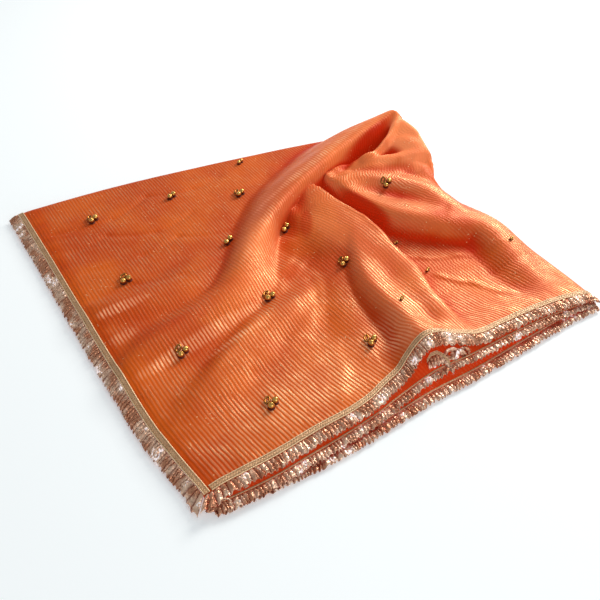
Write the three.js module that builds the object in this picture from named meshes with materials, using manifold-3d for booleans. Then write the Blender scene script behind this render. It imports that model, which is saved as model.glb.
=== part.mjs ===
// A tissue silk sari, folded in half along its length and laid down, with its
// free top layer pushed up into one long roll and a few smaller folds.
// Millimetres, +Z up. Inside the build, x runs along the three long margins,
// y from those margins to the back fold, and z = 0 is the surface it lies on.

import * as THREE from 'three';
import Module from 'manifold-3d';
import { mergeVertices } from 'three/addons/utils/BufferGeometryUtils.js';

// ---------------------------------------------------------------- sizes

const CLOTH_WALL = 1.2;       // cloth, as a solid wall
const LAYER_GAP = 0.3;        // between pieces at a seam or a fold
const FLAT_Z = 14;            // top of the folded stack where it lies flat
const RIM_Z = 8;              // foot of the upper layer at its folded rims
const RIM_RADIUS = 12;        // rounding of those rims
const MARGIN_REACH = 45;      // how far the long margin's own height reaches in
const END_DROP = 4;           // settling of the cloth along its end
const END_REACH = 20;

const BRAID_WIDTH = 7;
const LOWER_BRAID_WIDTH = 3;  // what shows of it on the layers below
const BRAID_WALL = 1;
const RUFFLE_WALL = 1;
const RUFFLE_STEPS = 4;       // points along one ruffle wave

const CLOTH_COLUMNS = 36;     // grid points along the margins
const CLOTH_ROWS = 34;        // grid points from the margin to the back fold
const COLUMN_DENSITY = [      // closer grid lines where the folds are
  { at: 0, density: 1 }, { at: 0.35, density: 1 }, { at: 0.6, density: 2.2 }, { at: 1, density: 2 },
];
const ROW_DENSITY = [
  { at: 0, density: 1.4 }, { at: 0.3, density: 1 }, { at: 0.52, density: 1.4 },
  { at: 0.66, density: 2.6 }, { at: 0.8, density: 2 }, { at: 1, density: 0.7 },
];
const MOUTH_FLOOR = 12.5;     // top of the hidden layers inside the open wave
const MOUTH_DEPTH = 62;       // y where they start to rise behind its mouth
const MOUTH_SLOPE = 1.2;

// ---------------------------------------------------------------- tables

// The four plan edges of the upper layer, and the height of its long margin.
const LONG_MARGIN = [
  { x: 7, y: 13, z: 12 }, { x: 30, y: 14, z: 13.4 }, { x: 87, y: 13, z: 14.5 },
  { x: 136, y: 15.5, z: 15.5 }, { x: 178, y: 15.5, z: 16.5 }, { x: 205, y: 19, z: 17 },
  { x: 225, y: 25, z: 17.5 }, { x: 250, y: 31, z: 20 }, { x: 264, y: 36, z: 28 },
  { x: 276, y: 38.5, z: 38 },
  { x: 290, y: 39, z: 45 }, { x: 306, y: 36, z: 44 }, { x: 322, y: 31, z: 37 },
  { x: 340, y: 28, z: 28 }, { x: 362, y: 25, z: 21 }, { x: 400, y: 25, z: 18 },
  { x: 460, y: 21, z: 17 }, { x: 506, y: 13, z: 16 }, { x: 530, y: 8, z: 12.5 },
];
const BACK_FOLD = [
  { x: -16, y: 550 }, { x: 129, y: 541 }, { x: 313, y: 513 },
  { x: 430, y: 492 }, { x: 558, y: 462 },
];
const END_EDGE = [
  { y: 13, x: 7 }, { y: 38, x: 3.5 }, { y: 64, x: -0.5 }, { y: 110, x: -6 },
  { y: 178, x: -8.5 }, { y: 300, x: -11 }, { y: 420, x: -13 }, { y: 550, x: -16 },
];
const SIDE_FOLD = [
  { y: 8, x: 530 }, { y: 88, x: 533 }, { y: 157, x: 533 }, { y: 225, x: 528 },
  { y: 290, x: 520 }, { y: 330, x: 530 }, { y: 370, x: 548 }, { y: 420, x: 562 },
  { y: 462, x: 558 },
];

// Folds of the upper layer. Each row is a station on the crest: its place, its
// rise over the flat cloth, the width of its left and right slope as seen along
// the crest, and how far the crest leans over its left foot.
const FOLDS = {
  longRoll: [
    { x: 524, y: 402, rise: 64, left: 24, right: 60, lean: 6 },
    { x: 490, y: 397, rise: 61, left: 24, right: 72, lean: 9 },
    { x: 453, y: 393, rise: 56, left: 24, right: 78, lean: 11 },
    { x: 414, y: 386, rise: 50, left: 24, right: 74, lean: 12 },
    { x: 384, y: 377, rise: 46, left: 24, right: 68, lean: 12 },
    { x: 350, y: 366, rise: 42, left: 24, right: 62, lean: 12 },
    { x: 310, y: 350, rise: 37, left: 22, right: 56, lean: 10 },
    { x: 273, y: 330, rise: 33, left: 20, right: 48, lean: 8 },
    { x: 241, y: 309, rise: 28, left: 26, right: 42, lean: 5 },
    { x: 208, y: 283, rise: 23, left: 38, right: 38, lean: 2 },
    { x: 178, y: 255, rise: 18, left: 48, right: 38, lean: 0 },
    { x: 147, y: 235, rise: 15, left: 52, right: 36, lean: 0 },
    { x: 114, y: 226, rise: 13, left: 54, right: 34, lean: 0 },
    { x: 81, y: 220, rise: 11, left: 54, right: 32, lean: 0 },
    { x: 42, y: 212, rise: 9, left: 50, right: 30, lean: 0 },
    { x: 13, y: 196, rise: 6, left: 44, right: 28, lean: 0 },
    { x: -8, y: 181, rise: 3, left: 38, right: 26, lean: 0 },
    { x: -25, y: 168, rise: 1, left: 34, right: 26, lean: 0 },
  ],
  endSwell: [
    { x: 193, y: 306, rise: 1, left: 50, right: 40, lean: 0 },
    { x: 153, y: 300, rise: 3, left: 50, right: 40, lean: 0 },
    { x: 113, y: 291, rise: 5, left: 50, right: 34, lean: 0 },
    { x: 68, y: 291, rise: 6, left: 44, right: 28, lean: 0 },
    { x: 27, y: 296, rise: 6, left: 40, right: 26, lean: 0 },
    { x: -1, y: 300, rise: 3, left: 40, right: 26, lean: 0 },
    { x: -20, y: 302, rise: 1, left: 40, right: 26, lean: 0 },
  ],
  frontSwell: [
    { x: 280, y: 200, rise: 1, left: 50, right: 26, lean: 0 },
    { x: 248, y: 191, rise: 3, left: 56, right: 26, lean: 0 },
    { x: 203, y: 181, rise: 7, left: 60, right: 26, lean: 0 },
    { x: 156, y: 173, rise: 8, left: 60, right: 26, lean: 0 },
    { x: 123, y: 158, rise: 8, left: 60, right: 26, lean: 0 },
    { x: 87, y: 135, rise: 7, left: 54, right: 26, lean: 0 },
    { x: 54, y: 114, rise: 5, left: 50, right: 26, lean: 0 },
    { x: 30, y: 99, rise: 3, left: 44, right: 26, lean: 0 },
    { x: 11, y: 87, rise: 1, left: 40, right: 26, lean: 0 },
  ],
  peakCrease: [
    { x: 524, y: 395, rise: 62, left: 18, right: 24, lean: 0 },
    { x: 500, y: 374, rise: 54, left: 18, right: 20, lean: 0 },
    { x: 478, y: 363, rise: 48, left: 20, right: 18, lean: 0 },
    { x: 453, y: 355, rise: 42, left: 18, right: 16, lean: 0 },
    { x: 435, y: 354, rise: 38, left: 16, right: 16, lean: 0 },
  ],
  cornerSwell: [
    { x: 525, y: 394, rise: 62, left: 40, right: 66, lean: 0 },
    { x: 523, y: 357, rise: 60, left: 38, right: 76, lean: 3 },
    { x: 521, y: 329, rise: 53, left: 34, right: 76, lean: 6 },
    { x: 522, y: 310, rise: 44, left: 28, right: 66, lean: 9 },
    { x: 518, y: 302, rise: 36, left: 24, right: 50, lean: 8 },
    { x: 509, y: 299, rise: 29, left: 24, right: 40, lean: 3 },
  ],
  upperShelf: [
    { x: 380, y: 367, rise: 28, left: 14, right: 30, lean: 0 },
    { x: 412, y: 366, rise: 33, left: 16, right: 50, lean: 0 },
    { x: 430, y: 359, rise: 37, left: 18, right: 64, lean: 0 },
    { x: 458, y: 345, rise: 40, left: 20, right: 76, lean: 0 },
    { x: 482, y: 330, rise: 40, left: 22, right: 80, lean: 0 },
    { x: 495, y: 312, rise: 37, left: 26, right: 70, lean: 0 },
    { x: 499, y: 290, rise: 32, left: 30, right: 56, lean: 0 },
  ],
  shelfTop: [
    { x: 400, y: 337, rise: 34, left: 56, right: 46, lean: 0 },
    { x: 424, y: 311, rise: 37, left: 66, right: 46, lean: 0 },
    { x: 450, y: 288, rise: 37, left: 70, right: 46, lean: 0 },
    { x: 470, y: 257, rise: 34, left: 60, right: 44, lean: 0 },
    { x: 480, y: 216, rise: 28, left: 46, right: 40, lean: 0 },
  ],
  sideSweep: [
    { x: 487, y: 53, rise: 5, left: 34, right: 30, lean: 0 },
    { x: 487, y: 90, rise: 12, left: 40, right: 40, lean: 0 },
    { x: 494, y: 136, rise: 20, left: 40, right: 50, lean: 0 },
    { x: 489, y: 171, rise: 24, left: 40, right: 60, lean: 4 },
    { x: 453, y: 200, rise: 29, left: 34, right: 80, lean: 8 },
    { x: 412, y: 233, rise: 32, left: 28, right: 76, lean: 10 },
    { x: 396, y: 262, rise: 32, left: 24, right: 60, lean: 10 },
    { x: 384, y: 295, rise: 32, left: 20, right: 46, lean: 10 },
    { x: 380, y: 321, rise: 32, left: 18, right: 36, lean: 8 },
    { x: 375, y: 355, rise: 30, left: 16, right: 24, lean: 4 },
  ],
  marginWave: [
    { x: 349, y: 341, rise: 30, left: 16, right: 60, lean: 2 },
    { x: 352, y: 307, rise: 29, left: 14, right: 80, lean: 5 },
    { x: 355, y: 285, rise: 28, left: 14, right: 86, lean: 7 },
    { x: 359, y: 262, rise: 27, left: 16, right: 88, lean: 9 },
    { x: 361, y: 241, rise: 26, left: 18, right: 84, lean: 10 },
    { x: 361, y: 223, rise: 25, left: 20, right: 76, lean: 10 },
    { x: 358, y: 201, rise: 24, left: 20, right: 70, lean: 10 },
    { x: 356, y: 182, rise: 24, left: 22, right: 64, lean: 10 },
    { x: 356, y: 163, rise: 23, left: 22, right: 58, lean: 10 },
    { x: 356, y: 146, rise: 23, left: 22, right: 56, lean: 10 },
    { x: 350, y: 126, rise: 23, left: 22, right: 54, lean: 10 },
    { x: 344, y: 105, rise: 23, left: 22, right: 50, lean: 10 },
    { x: 341, y: 88, rise: 22, left: 24, right: 48, lean: 9 },
    { x: 341, y: 73, rise: 21, left: 24, right: 44, lean: 7 },
    { x: 343, y: 58, rise: 19, left: 24, right: 40, lean: 5 },
    { x: 344, y: 45, rise: 17, left: 22, right: 34, lean: 3 },
  ],
  marginShoulder: [
    { x: 334, y: 246, rise: 18, left: 48, right: 26, lean: 0 },
    { x: 320, y: 208, rise: 20, left: 56, right: 26, lean: 0 },
    { x: 307, y: 178, rise: 22, left: 60, right: 26, lean: 0 },
    { x: 299, y: 149, rise: 23, left: 60, right: 28, lean: 0 },
    { x: 298, y: 120, rise: 24, left: 58, right: 30, lean: 0 },
    { x: 297, y: 94, rise: 25, left: 50, right: 30, lean: 0 },
    { x: 294, y: 69, rise: 27, left: 42, right: 30, lean: 0 },
    { x: 289, y: 49, rise: 29, left: 36, right: 28, lean: 0 },
  ],
  pocketLip: [
    { x: 301, y: 335, rise: 15, left: 34, right: 22, lean: 0 },
    { x: 301, y: 305, rise: 13, left: 40, right: 24, lean: 0 },
    { x: 301, y: 269, rise: 10, left: 44, right: 28, lean: 0 },
    { x: 300, y: 230, rise: 7, left: 44, right: 30, lean: 0 },
  ],
  lowSwell: [
    { x: 280, y: 279, rise: 5, left: 25, right: 30, lean: 0 },
    { x: 301, y: 211, rise: 6, left: 25, right: 40, lean: 0 },
    { x: 268, y: 149, rise: 6, left: 30, right: 45, lean: 0 },
    { x: 248, y: 78, rise: 3, left: 30, right: 40, lean: 0 },
  ],
};

// The long margins of the two layers below, and the front of the layers that
// don't show. z is the top of the cloth there.
const MIDDLE_MARGIN = [
  { x: 12, y: 2.5, z: 6.2 }, { x: 32, y: 0, z: 6.9 }, { x: 70, y: -2.5, z: 7.6 },
  { x: 116, y: -1, z: 8 }, { x: 155, y: 0.5, z: 8 }, { x: 200, y: 4, z: 8.2 },
  { x: 231, y: 9, z: 8.6 }, { x: 288, y: 15, z: 9 }, { x: 339, y: 11, z: 8.4 },
  { x: 391, y: 10.5, z: 8 }, { x: 437, y: 9.5, z: 8 }, { x: 484, y: 6, z: 7.8 },
  { x: 526, y: 3, z: 6.8 },
];
const LOWER_MARGIN = [
  { x: 8, y: 4.5, z: 1.4 }, { x: 70, y: -1, z: 1.8 }, { x: 150, y: -5, z: 2 },
  { x: 219, y: -2, z: 2 }, { x: 270, y: 0, z: 2.2 }, { x: 330, y: -1, z: 2 },
  { x: 429, y: 2, z: 2 }, { x: 482, y: 3, z: 2 }, { x: 526, y: 1, z: 1.6 },
];
const HIDDEN_FRONT = [
  { x: -4, y: 22 }, { x: 90, y: 19 }, { x: 155, y: 20 }, { x: 231, y: 30 },
  { x: 288, y: 35 }, { x: 339, y: 30 }, { x: 437, y: 27 }, { x: 526, y: 20 },
];

// Edge of the hidden layers, from the bottom up: the rounded folds of two layers,
// the last row tucked under the upper one.
const LAYERED_EDGE = [
  { inset: 2.2, z: 0 }, { inset: 1.2, z: 1.8 }, { inset: 2.6, z: 3.6 },
  { inset: 1.2, z: 5.4 }, { inset: 3, z: 7.3 },
];

// Ruffles: width on each trimmed margin, the drop of their free edge below the
// seam or the height where it ends, and the height of the waves there.
const RUFFLES = {
  end: { waves: 46, width: 13, freeZ: 2.9, swing: 1.9 },
  upper: { waves: 46, width: 14, freeZ: null, drop: 1.6, swing: 1.8 },
  middle: { waves: 40, width: 12.5, freeZ: null, drop: 1, swing: 1.7 },
  lower: { waves: 40, width: 12.5, freeZ: 2.6, swing: 1.5 },
};

// Bell clusters sewn on the upper layer: how many bells each has, and their radius.
const BELLS = [
  { x: 66, y: 474, bells: 3, radius: 4 }, { x: 183, y: 468, bells: 2, radius: 4 },
  { x: 266, y: 421, bells: 3, radius: 4 }, { x: 58, y: 327, bells: 3, radius: 4 },
  { x: 201, y: 330, bells: 2, radius: 4 }, { x: 276, y: 312, bells: 2, radius: 4 },
  { x: 68, y: 179, bells: 3, radius: 4 }, { x: 194, y: 207, bells: 3, radius: 4 },
  { x: 298, y: 206, bells: 3, radius: 4 }, { x: 112, y: 68, bells: 3, radius: 4 },
  { x: 249, y: 80, bells: 3, radius: 4 }, { x: 429, y: 288, bells: 3, radius: 4 },
  { x: 389, y: 211, bells: 2, radius: 2 }, { x: 503, y: 120, bells: 2, radius: 2 },
  { x: 309, y: 107, bells: 2, radius: 2 }, { x: 384, y: 145, bells: 2, radius: 2 },
  { x: 306, y: 494, bells: 2, radius: 3 },
];
const BELL_PITCH = 1.5;       // between the middles of two bells, in radii
const [BELL_SIDES, BELL_RINGS] = [7, 4];
const TOUCH = 0.01;           // mm short of clear that still counts as clear
const FIRST_BELL_TURN = { 2: 200, 3: 230 };  // degrees from x, by bells in the cluster

// ---------------------------------------------------------------- materials

const finish = (color, roughness, metalness) =>
  new THREE.MeshStandardMaterial({ color, roughness, metalness, side: THREE.DoubleSide });
const CLOTH_FINISH = finish(0xc4602c, 0.45, 0.1);
const HIDDEN_FINISH = finish(0xb04a18, 0.55, 0.05);
const BRAID_FINISH = finish(0xb99770, 0.5, 0.4);
const RUFFLE_FINISH = finish(0xb08a76, 0.35, 0.6);
const BELL_FINISH = finish(0x8d5a2c, 0.3, 0.9);

// ---------------------------------------------------------------- curves

const clamp01 = (value) => Math.min(1, Math.max(0, value));

// A smooth curve through a table: its column `key` as a function of column `by`.
function smooth(table, key, by, at) {
  const last = table.length - 1;
  const q = Math.min(table[last][by], Math.max(table[0][by], at));
  let i = 0;
  while (i < last - 1 && q > table[i + 1][by]) i += 1;
  const slope = (k) => {
    const a = Math.max(0, k - 1);
    const b = Math.min(last, k + 1);
    return (table[b][key] - table[a][key]) / (table[b][by] - table[a][by]);
  };
  const h = table[i + 1][by] - table[i][by];
  const s = (q - table[i][by]) / h;
  return (2 * s ** 3 - 3 * s ** 2 + 1) * table[i][key]
    + (s ** 3 - 2 * s ** 2 + s) * h * slope(i)
    + (3 * s ** 2 - 2 * s ** 3) * table[i + 1][key]
    + (s ** 3 - s ** 2) * h * slope(i + 1);
}

const ends = (table, by) => [table[0][by], table[table.length - 1][by]];

// ---------------------------------------------------------------- folds

const STATION_KEYS = ['x', 'y', 'rise', 'left', 'right', 'lean'];
const CREST_STEPS = 8;
const BELL_CURVE = 2;         // power of an upright fold's slopes
const FULL_LEAN = 8;          // mm of lean at which a fold is at its fullest
const FULLER_LEFT = 1.4;      // what a full lean takes off that power on each side
const FULLER_RIGHT = 0.4;
const LEAN_CURVE = 1.3;       // how soon the lean fades down the slope
const TALLEST_WINS = 6;       // power of the mean that joins the folds' heights
const LEANER_WINS = 4;        // and of the one that joins their leans

// The crest line before it leans, with points between the stations.
function crestLine(stations) {
  const last = stations.length - 1;
  const upright = stations.map((station, i) => {
    const a = stations[Math.max(0, i - 1)];
    const b = stations[Math.min(last, i + 1)];
    const run = Math.hypot(b.x - a.x, b.y - a.y);
    return {
      ...station,
      x: station.x + ((b.y - a.y) / run) * station.lean,
      y: station.y - ((b.x - a.x) / run) * station.lean,
    };
  });
  const at = (i, key) => {
    if (i < 0) return 2 * upright[0][key] - upright[1][key];
    if (i > last) return 2 * upright[last][key] - upright[last - 1][key];
    return upright[i][key];
  };
  const line = [];
  for (let i = 0; i < last; i += 1) {
    for (let k = 0; k < CREST_STEPS; k += 1) {
      const t = k / CREST_STEPS;
      const point = {};
      for (const key of STATION_KEYS) {
        const [a, b, c, d] = [at(i - 1, key), at(i, key), at(i + 1, key), at(i + 2, key)];
        point[key] = 0.5 * (2 * b + (c - a) * t + (2 * a - 5 * b + 4 * c - d) * t * t
          + (3 * b - a - 3 * c + d) * t ** 3);
      }
      line.push(point);
    }
  }
  line.push(upright[last]);
  return line;
}

const CRESTS = Object.values(FOLDS).map(crestLine);

// Height that one fold adds at a place, and how far the cloth leans there.
function foldAt(crest, x, y) {
  let best = { distance: Infinity };
  for (let i = 0; i < crest.length - 1; i += 1) {
    const [a, b] = [crest[i], crest[i + 1]];
    const [dx, dy] = [b.x - a.x, b.y - a.y];
    const t = clamp01(((x - a.x) * dx + (y - a.y) * dy) / (dx * dx + dy * dy + 1e-9));
    const distance = Math.hypot(x - a.x - t * dx, y - a.y - t * dy);
    if (distance < best.distance) best = { distance, a, b, t, dx, dy };
  }
  const { distance, a, b, t, dx, dy } = best;
  const mix = (key) => a[key] * (1 - t) + b[key] * t;
  const onLeft = dx * (y - a.y) - dy * (x - a.x) > 0;
  const reach = clamp01(distance / mix(onLeft ? 'left' : 'right'));
  const overhang = clamp01(mix('lean') / FULL_LEAN);
  const fullness = BELL_CURVE - (onLeft ? FULLER_LEFT : FULLER_RIGHT) * overhang;
  const bell = (1 - reach * reach) ** fullness;
  const run = Math.hypot(dx, dy) + 1e-9;
  const lean = mix('lean') * bell ** LEAN_CURVE;
  return { rise: mix('rise') * bell, x: (-dy / run) * lean, y: (dx / run) * lean };
}

// ---------------------------------------------------------------- upper layer

const [X0, X1] = ends(LONG_MARGIN, 'x');
const [BACK_X0, BACK_X1] = ends(BACK_FOLD, 'x');
const [END_Y0, END_Y1] = ends(END_EDGE, 'y');
const [SIDE_Y0, SIDE_Y1] = ends(SIDE_FOLD, 'y');
const lerp = (a, b, t) => a + (b - a) * t;

// Plan point of the upper layer: u along the margin, v towards the back fold.
function planPoint(u, v) {
  const fx = lerp(X0, X1, u);
  const bx = lerp(BACK_X0, BACK_X1, u);
  const ly = lerp(END_Y0, END_Y1, v);
  const ry = lerp(SIDE_Y0, SIDE_Y1, v);
  const front = [fx, smooth(LONG_MARGIN, 'y', 'x', fx)];
  const back = [bx, smooth(BACK_FOLD, 'y', 'x', bx)];
  const left = [smooth(END_EDGE, 'x', 'y', ly), ly];
  const right = [smooth(SIDE_FOLD, 'x', 'y', ry), ry];
  const corners = [
    [X0, END_Y0], [X1, SIDE_Y0], [BACK_X0, END_Y1], [BACK_X1, SIDE_Y1],
  ];
  return [0, 1].map((k) => (1 - v) * front[k] + v * back[k] + (1 - u) * left[k] + u * right[k]
    - (1 - u) * (1 - v) * corners[0][k] - u * (1 - v) * corners[1][k]
    - (1 - u) * v * corners[2][k] - u * v * corners[3][k]);
}

const roundOver = (distance) => Math.sqrt(1 - (1 - clamp01(distance / RIM_RADIUS)) ** 2);

function clothPoint(u, v) {
  const [x, y] = planPoint(u, v);
  const folds = CRESTS.map((crest) => foldAt(crest, x, y));
  const rise = folds.reduce((sum, fold) => sum + fold.rise ** TALLEST_WINS, 0) ** (1 / TALLEST_WINS);
  const share = (fold) => (fold.rise / (rise + 1e-6)) ** LEANER_WINS;
  const leanX = folds.reduce((sum, fold) => sum + fold.x * share(fold), 0);
  const leanY = folds.reduce((sum, fold) => sum + fold.y * share(fold), 0);
  const near = clamp01(1 - (y - smooth(LONG_MARGIN, 'y', 'x', x)) / MARGIN_REACH);
  const margin = near * near * (3 - 2 * near);
  let z = (FLAT_Z + rise) * (1 - margin) + smooth(LONG_MARGIN, 'z', 'x', x) * margin;
  const across = smooth(SIDE_FOLD, 'x', 'y', y) - smooth(END_EDGE, 'x', 'y', y);
  z -= END_DROP * clamp01(1 - (u * across) / END_REACH) ** 2 * (1 - margin);
  for (const distance of [(1 - u) * (X1 - X0), (1 - v) * (END_Y1 - END_Y0)]) {
    z = RIM_Z + (z - RIM_Z) * roundOver(distance);
  }
  return new THREE.Vector3(x + leanX, y + leanY, z);
}

// Grid lines: one strip as wide as the braid, then steps by the density table,
// with three finer ones at the rounded rim.
const RIM_STEPS = [RIM_RADIUS, 5, 1.2];
const DENSITY_STEPS = 400;
function gridLines(count, length, table) {
  const first = BRAID_WIDTH / length;
  const rim = RIM_STEPS.map((distance) => 1 - distance / length);
  const inner = count - rim.length - 2;
  const passed = [0];
  const at = (k) => lerp(first, rim[0], k / DENSITY_STEPS);
  for (let k = 1; k <= DENSITY_STEPS; k += 1) {
    passed.push(passed[k - 1] + smooth(table, 'density', 'at', at(k)));
  }
  const lines = [0, first];
  for (let i = 1; i < inner; i += 1) {
    const wanted = (passed[DENSITY_STEPS] * i) / inner;
    lines.push(at(passed.findIndex((sum) => sum >= wanted)));
  }
  return [...lines, ...rim, 1];
}

const U_LINES = gridLines(CLOTH_COLUMNS, X1 - X0, COLUMN_DENSITY);
const V_LINES = gridLines(CLOTH_ROWS, END_Y1 - END_Y0, ROW_DENSITY);

// ---------------------------------------------------------------- solids

// One closed body from rows of outer points and the inner points under them.
function wallGeometry(outer, inner) {
  const rows = outer.length;
  const columns = outer[0].length;
  const points = [...outer.flat(), ...inner.flat()];
  const under = rows * columns;
  const at = (r, c) => r * columns + c;
  const faces = [];
  const quad = (a, b, c, d) => faces.push(a, b, c, a, c, d);
  for (let r = 0; r < rows - 1; r += 1) {
    for (let c = 0; c < columns - 1; c += 1) {
      quad(at(r, c), at(r, c + 1), at(r + 1, c + 1), at(r + 1, c));
      quad(under + at(r, c), under + at(r + 1, c), under + at(r + 1, c + 1), under + at(r, c + 1));
    }
  }
  const side = (a, b) => quad(a, under + a, under + b, b);
  for (let c = 0; c < columns - 1; c += 1) {
    side(at(0, c), at(0, c + 1));
    side(at(rows - 1, c + 1), at(rows - 1, c));
  }
  for (let r = 0; r < rows - 1; r += 1) {
    side(at(r + 1, 0), at(r, 0));
    side(at(r, columns - 1), at(r + 1, columns - 1));
  }
  return geometryFrom(points, faces);
}

function geometryFrom(points, faces) {
  const geometry = new THREE.BufferGeometry();
  const flat = points.flatMap((p) => [p.x, p.y, p.z]);
  geometry.setAttribute('position', new THREE.Float32BufferAttribute(flat, 3));
  geometry.setIndex(faces);
  geometry.computeVertexNormals();
  return geometry;
}

// Upward unit normals of a grid of points, from its neighbours.
function gridNormals(grid) {
  const rows = grid.length;
  const columns = grid[0].length;
  return grid.map((row, r) => row.map((_, c) => {
    const along = grid[r][Math.min(columns - 1, c + 1)].clone()
      .sub(grid[r][Math.max(0, c - 1)]);
    const across = grid[Math.min(rows - 1, r + 1)][c].clone()
      .sub(grid[Math.max(0, r - 1)][c]);
    return along.cross(across).normalize();
  }));
}

const offsetGrid = (grid, normals, distance) =>
  grid.map((row, r) => row.map((p, c) => p.clone().addScaledVector(normals[r][c], distance)));

// A flat strip or a ribbon: rows of top points and one thickness straight down.
function slabGeometry(rows, wall) {
  const along = rows[0][1].clone().sub(rows[0][0]);
  const across = rows[1][0].clone().sub(rows[0][0]);
  const tops = along.cross(across).z > 0 ? rows : [...rows].reverse();
  const lowered = tops.map((row) => row.map((p) => new THREE.Vector3(p.x, p.y, p.z - wall)));
  return wallGeometry(tops, lowered);
}

const group = new THREE.Group();

function addMesh(name, geometry, material) {
  const mesh = new THREE.Mesh(geometry, material);
  mesh.name = name;
  group.add(mesh);
}

// ---------------------------------------------------------------- upper cloth

const clothGrid = V_LINES.map((v) => U_LINES.map((u) => clothPoint(u, v)));
const clothNormals = gridNormals(clothGrid);
const clothInside = offsetGrid(clothGrid, clothNormals, -CLOTH_WALL);
addMesh('upper_cloth', wallGeometry(clothGrid, clothInside), CLOTH_FINISH);

// Braids lie on the cloth's own first strip of points, moved out.
function braidOn(rows, normals) {
  return wallGeometry(
    offsetGrid(rows, normals, LAYER_GAP + BRAID_WALL),
    offsetGrid(rows, normals, LAYER_GAP),
  );
}

const columnPair = (grid) => grid.map((row) => [row[0], row[1]]);
addMesh('end_braid', braidOn(columnPair(clothGrid), columnPair(clothNormals)), BRAID_FINISH);

const CORNER_COLUMN = 1;      // the long braid starts beside the end braid
const afterEnd = (grid) => grid.slice(0, 2).map((row) => {
  const kept = row.slice(CORNER_COLUMN);
  const nudge = kept[1].clone().sub(kept[0]).setLength(2 * LAYER_GAP);
  return [kept[0].clone().add(nudge), ...kept.slice(1)];
});
const marginNormals = clothNormals.slice(0, 2).map((row) => row.slice(CORNER_COLUMN));
addMesh('upper_braid', braidOn(afterEnd(clothGrid), marginNormals), BRAID_FINISH);

// ---------------------------------------------------------------- ruffles

const SEWN_SWING = 0.25;      // a wave's rise at the seam
const FREE_SWAY = 0.6;        // and how far it moves the free edge in and out

// A ruffle along a seam. `seam` gives the seam point and the outward direction
// at a share of its length; waves grow from the seam to the free edge.
function ruffleGeometry(seam, { waves, width, freeZ, drop, swing }) {
  const steps = waves * RUFFLE_STEPS;
  const sewn = [];
  const free = [];
  for (let i = 0; i <= steps; i += 1) {
    const { point, out } = seam(i / steps);
    const wave = Math.sin((i / RUFFLE_STEPS) * 2 * Math.PI);
    const start = point.clone().addScaledVector(out, LAYER_GAP);
    const end = start.clone().addScaledVector(out, width + FREE_SWAY * wave);
    end.z = (freeZ ?? start.z - drop) + swing * wave;
    start.z += SEWN_SWING * wave;
    sewn.push(start);
    free.push(end);
  }
  return slabGeometry([free, sewn], RUFFLE_WALL);
}

// Outward directions turn to the corner's diagonal over the last stretch, so two
// ruffles meet there edge to edge.
const MITRE_REACH = 14;
const MITRE_STRETCH = 0.35;   // how much wider a ruffle is at the corner
const DIAGONAL = new THREE.Vector3(-1, -1, 0).normalize();
function mitred(out, distance) {
  const turn = clamp01(1 - distance / MITRE_REACH);
  return out.clone().lerp(DIAGONAL, turn).setLength(1 + MITRE_STRETCH * turn);
}

// A seam follows the cloth's own edge points, clear of the wall's lower edge.
const SEAM_DROP = 0.15;       // the ruffle's top lies just under the cloth's
const CORNER_GAP = 1.2;
function edgeSeam(tops, bottoms, beside) {
  const length = tops.slice(1).reduce((sum, p, i) => sum + p.distanceTo(tops[i]), 0);
  return (t) => {
    const wanted = lerp(CORNER_GAP, length, t);
    let passed = 0;
    let i = 0;
    while (i < tops.length - 2 && passed + tops[i + 1].distanceTo(tops[i]) < wanted) {
      passed += tops[i + 1].distanceTo(tops[i]);
      i += 1;
    }
    const share = clamp01((wanted - passed) / tops[i + 1].distanceTo(tops[i]));
    const along = (line) => line[i].clone().lerp(line[i + 1], share);
    const point = along(tops);
    const out = point.clone().sub(along(beside)).setZ(0).normalize();
    const jut = Math.max(0, along(bottoms).sub(point).dot(out));
    point.addScaledVector(out, jut).setZ(point.z - SEAM_DROP);
    return { point, out: mitred(out, wanted - CORNER_GAP) };
  };
}
const columnOf = (grid, c) => grid.map((row) => row[c]);
const endSeam = edgeSeam(columnOf(clothGrid, 0), columnOf(clothInside, 0), columnOf(clothGrid, 1));
const upperSeam = edgeSeam(clothGrid[0], clothInside[0], clothGrid[1]);
addMesh('end_ruffle', ruffleGeometry(endSeam, RUFFLES.end), RUFFLE_FINISH);
addMesh('upper_ruffle', ruffleGeometry(upperSeam, RUFFLES.upper), RUFFLE_FINISH);

// ---------------------------------------------------------------- lower margins

const STRIP_STEPS = 34;
function marginPoint(table, t) {
  const [x0, x1] = ends(table, 'x');
  const x = lerp(x0, x1, t);
  return new THREE.Vector3(x, smooth(table, 'y', 'x', x), smooth(table, 'z', 'x', x));
}

const shares = (steps) => Array.from({ length: steps + 1 }, (_, i) => i / steps);

// The strip of a lower layer that reaches out from under the one above, with
// its braid and ruffle.
function addMargin(name, table, ruffle) {
  const edge = shares(STRIP_STEPS).map((t) => marginPoint(table, t));
  const inner = edge.map((p) => {
    const back = smooth(HIDDEN_FRONT, 'y', 'x', p.x) + LAYERED_EDGE[1].inset - 2 * LAYER_GAP;
    return new THREE.Vector3(p.x, back, p.z);
  });
  addMesh(`${name}_cloth`, slabGeometry([edge, inner], CLOTH_WALL), CLOTH_FINISH);

  const raised = edge.map((p) => new THREE.Vector3(p.x, p.y, p.z + LAYER_GAP + BRAID_WALL));
  const tapeBack = raised.map((p, i) => p.clone()
    .lerp(new THREE.Vector3(p.x, inner[i].y, p.z), LOWER_BRAID_WIDTH / (inner[i].y - p.y)));
  addMesh(`${name}_braid`, slabGeometry([raised, tapeBack], BRAID_WALL), BRAID_FINISH);

  const seam = (t) => ({
    point: marginPoint(table, t).sub(new THREE.Vector3(0, 0, SEAM_DROP)),
    out: new THREE.Vector3(0, -1, 0),
  });
  addMesh(`${name}_ruffle`, ruffleGeometry(seam, ruffle), RUFFLE_FINISH);
}
addMargin('middle', MIDDLE_MARGIN, RUFFLES.middle);
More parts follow.
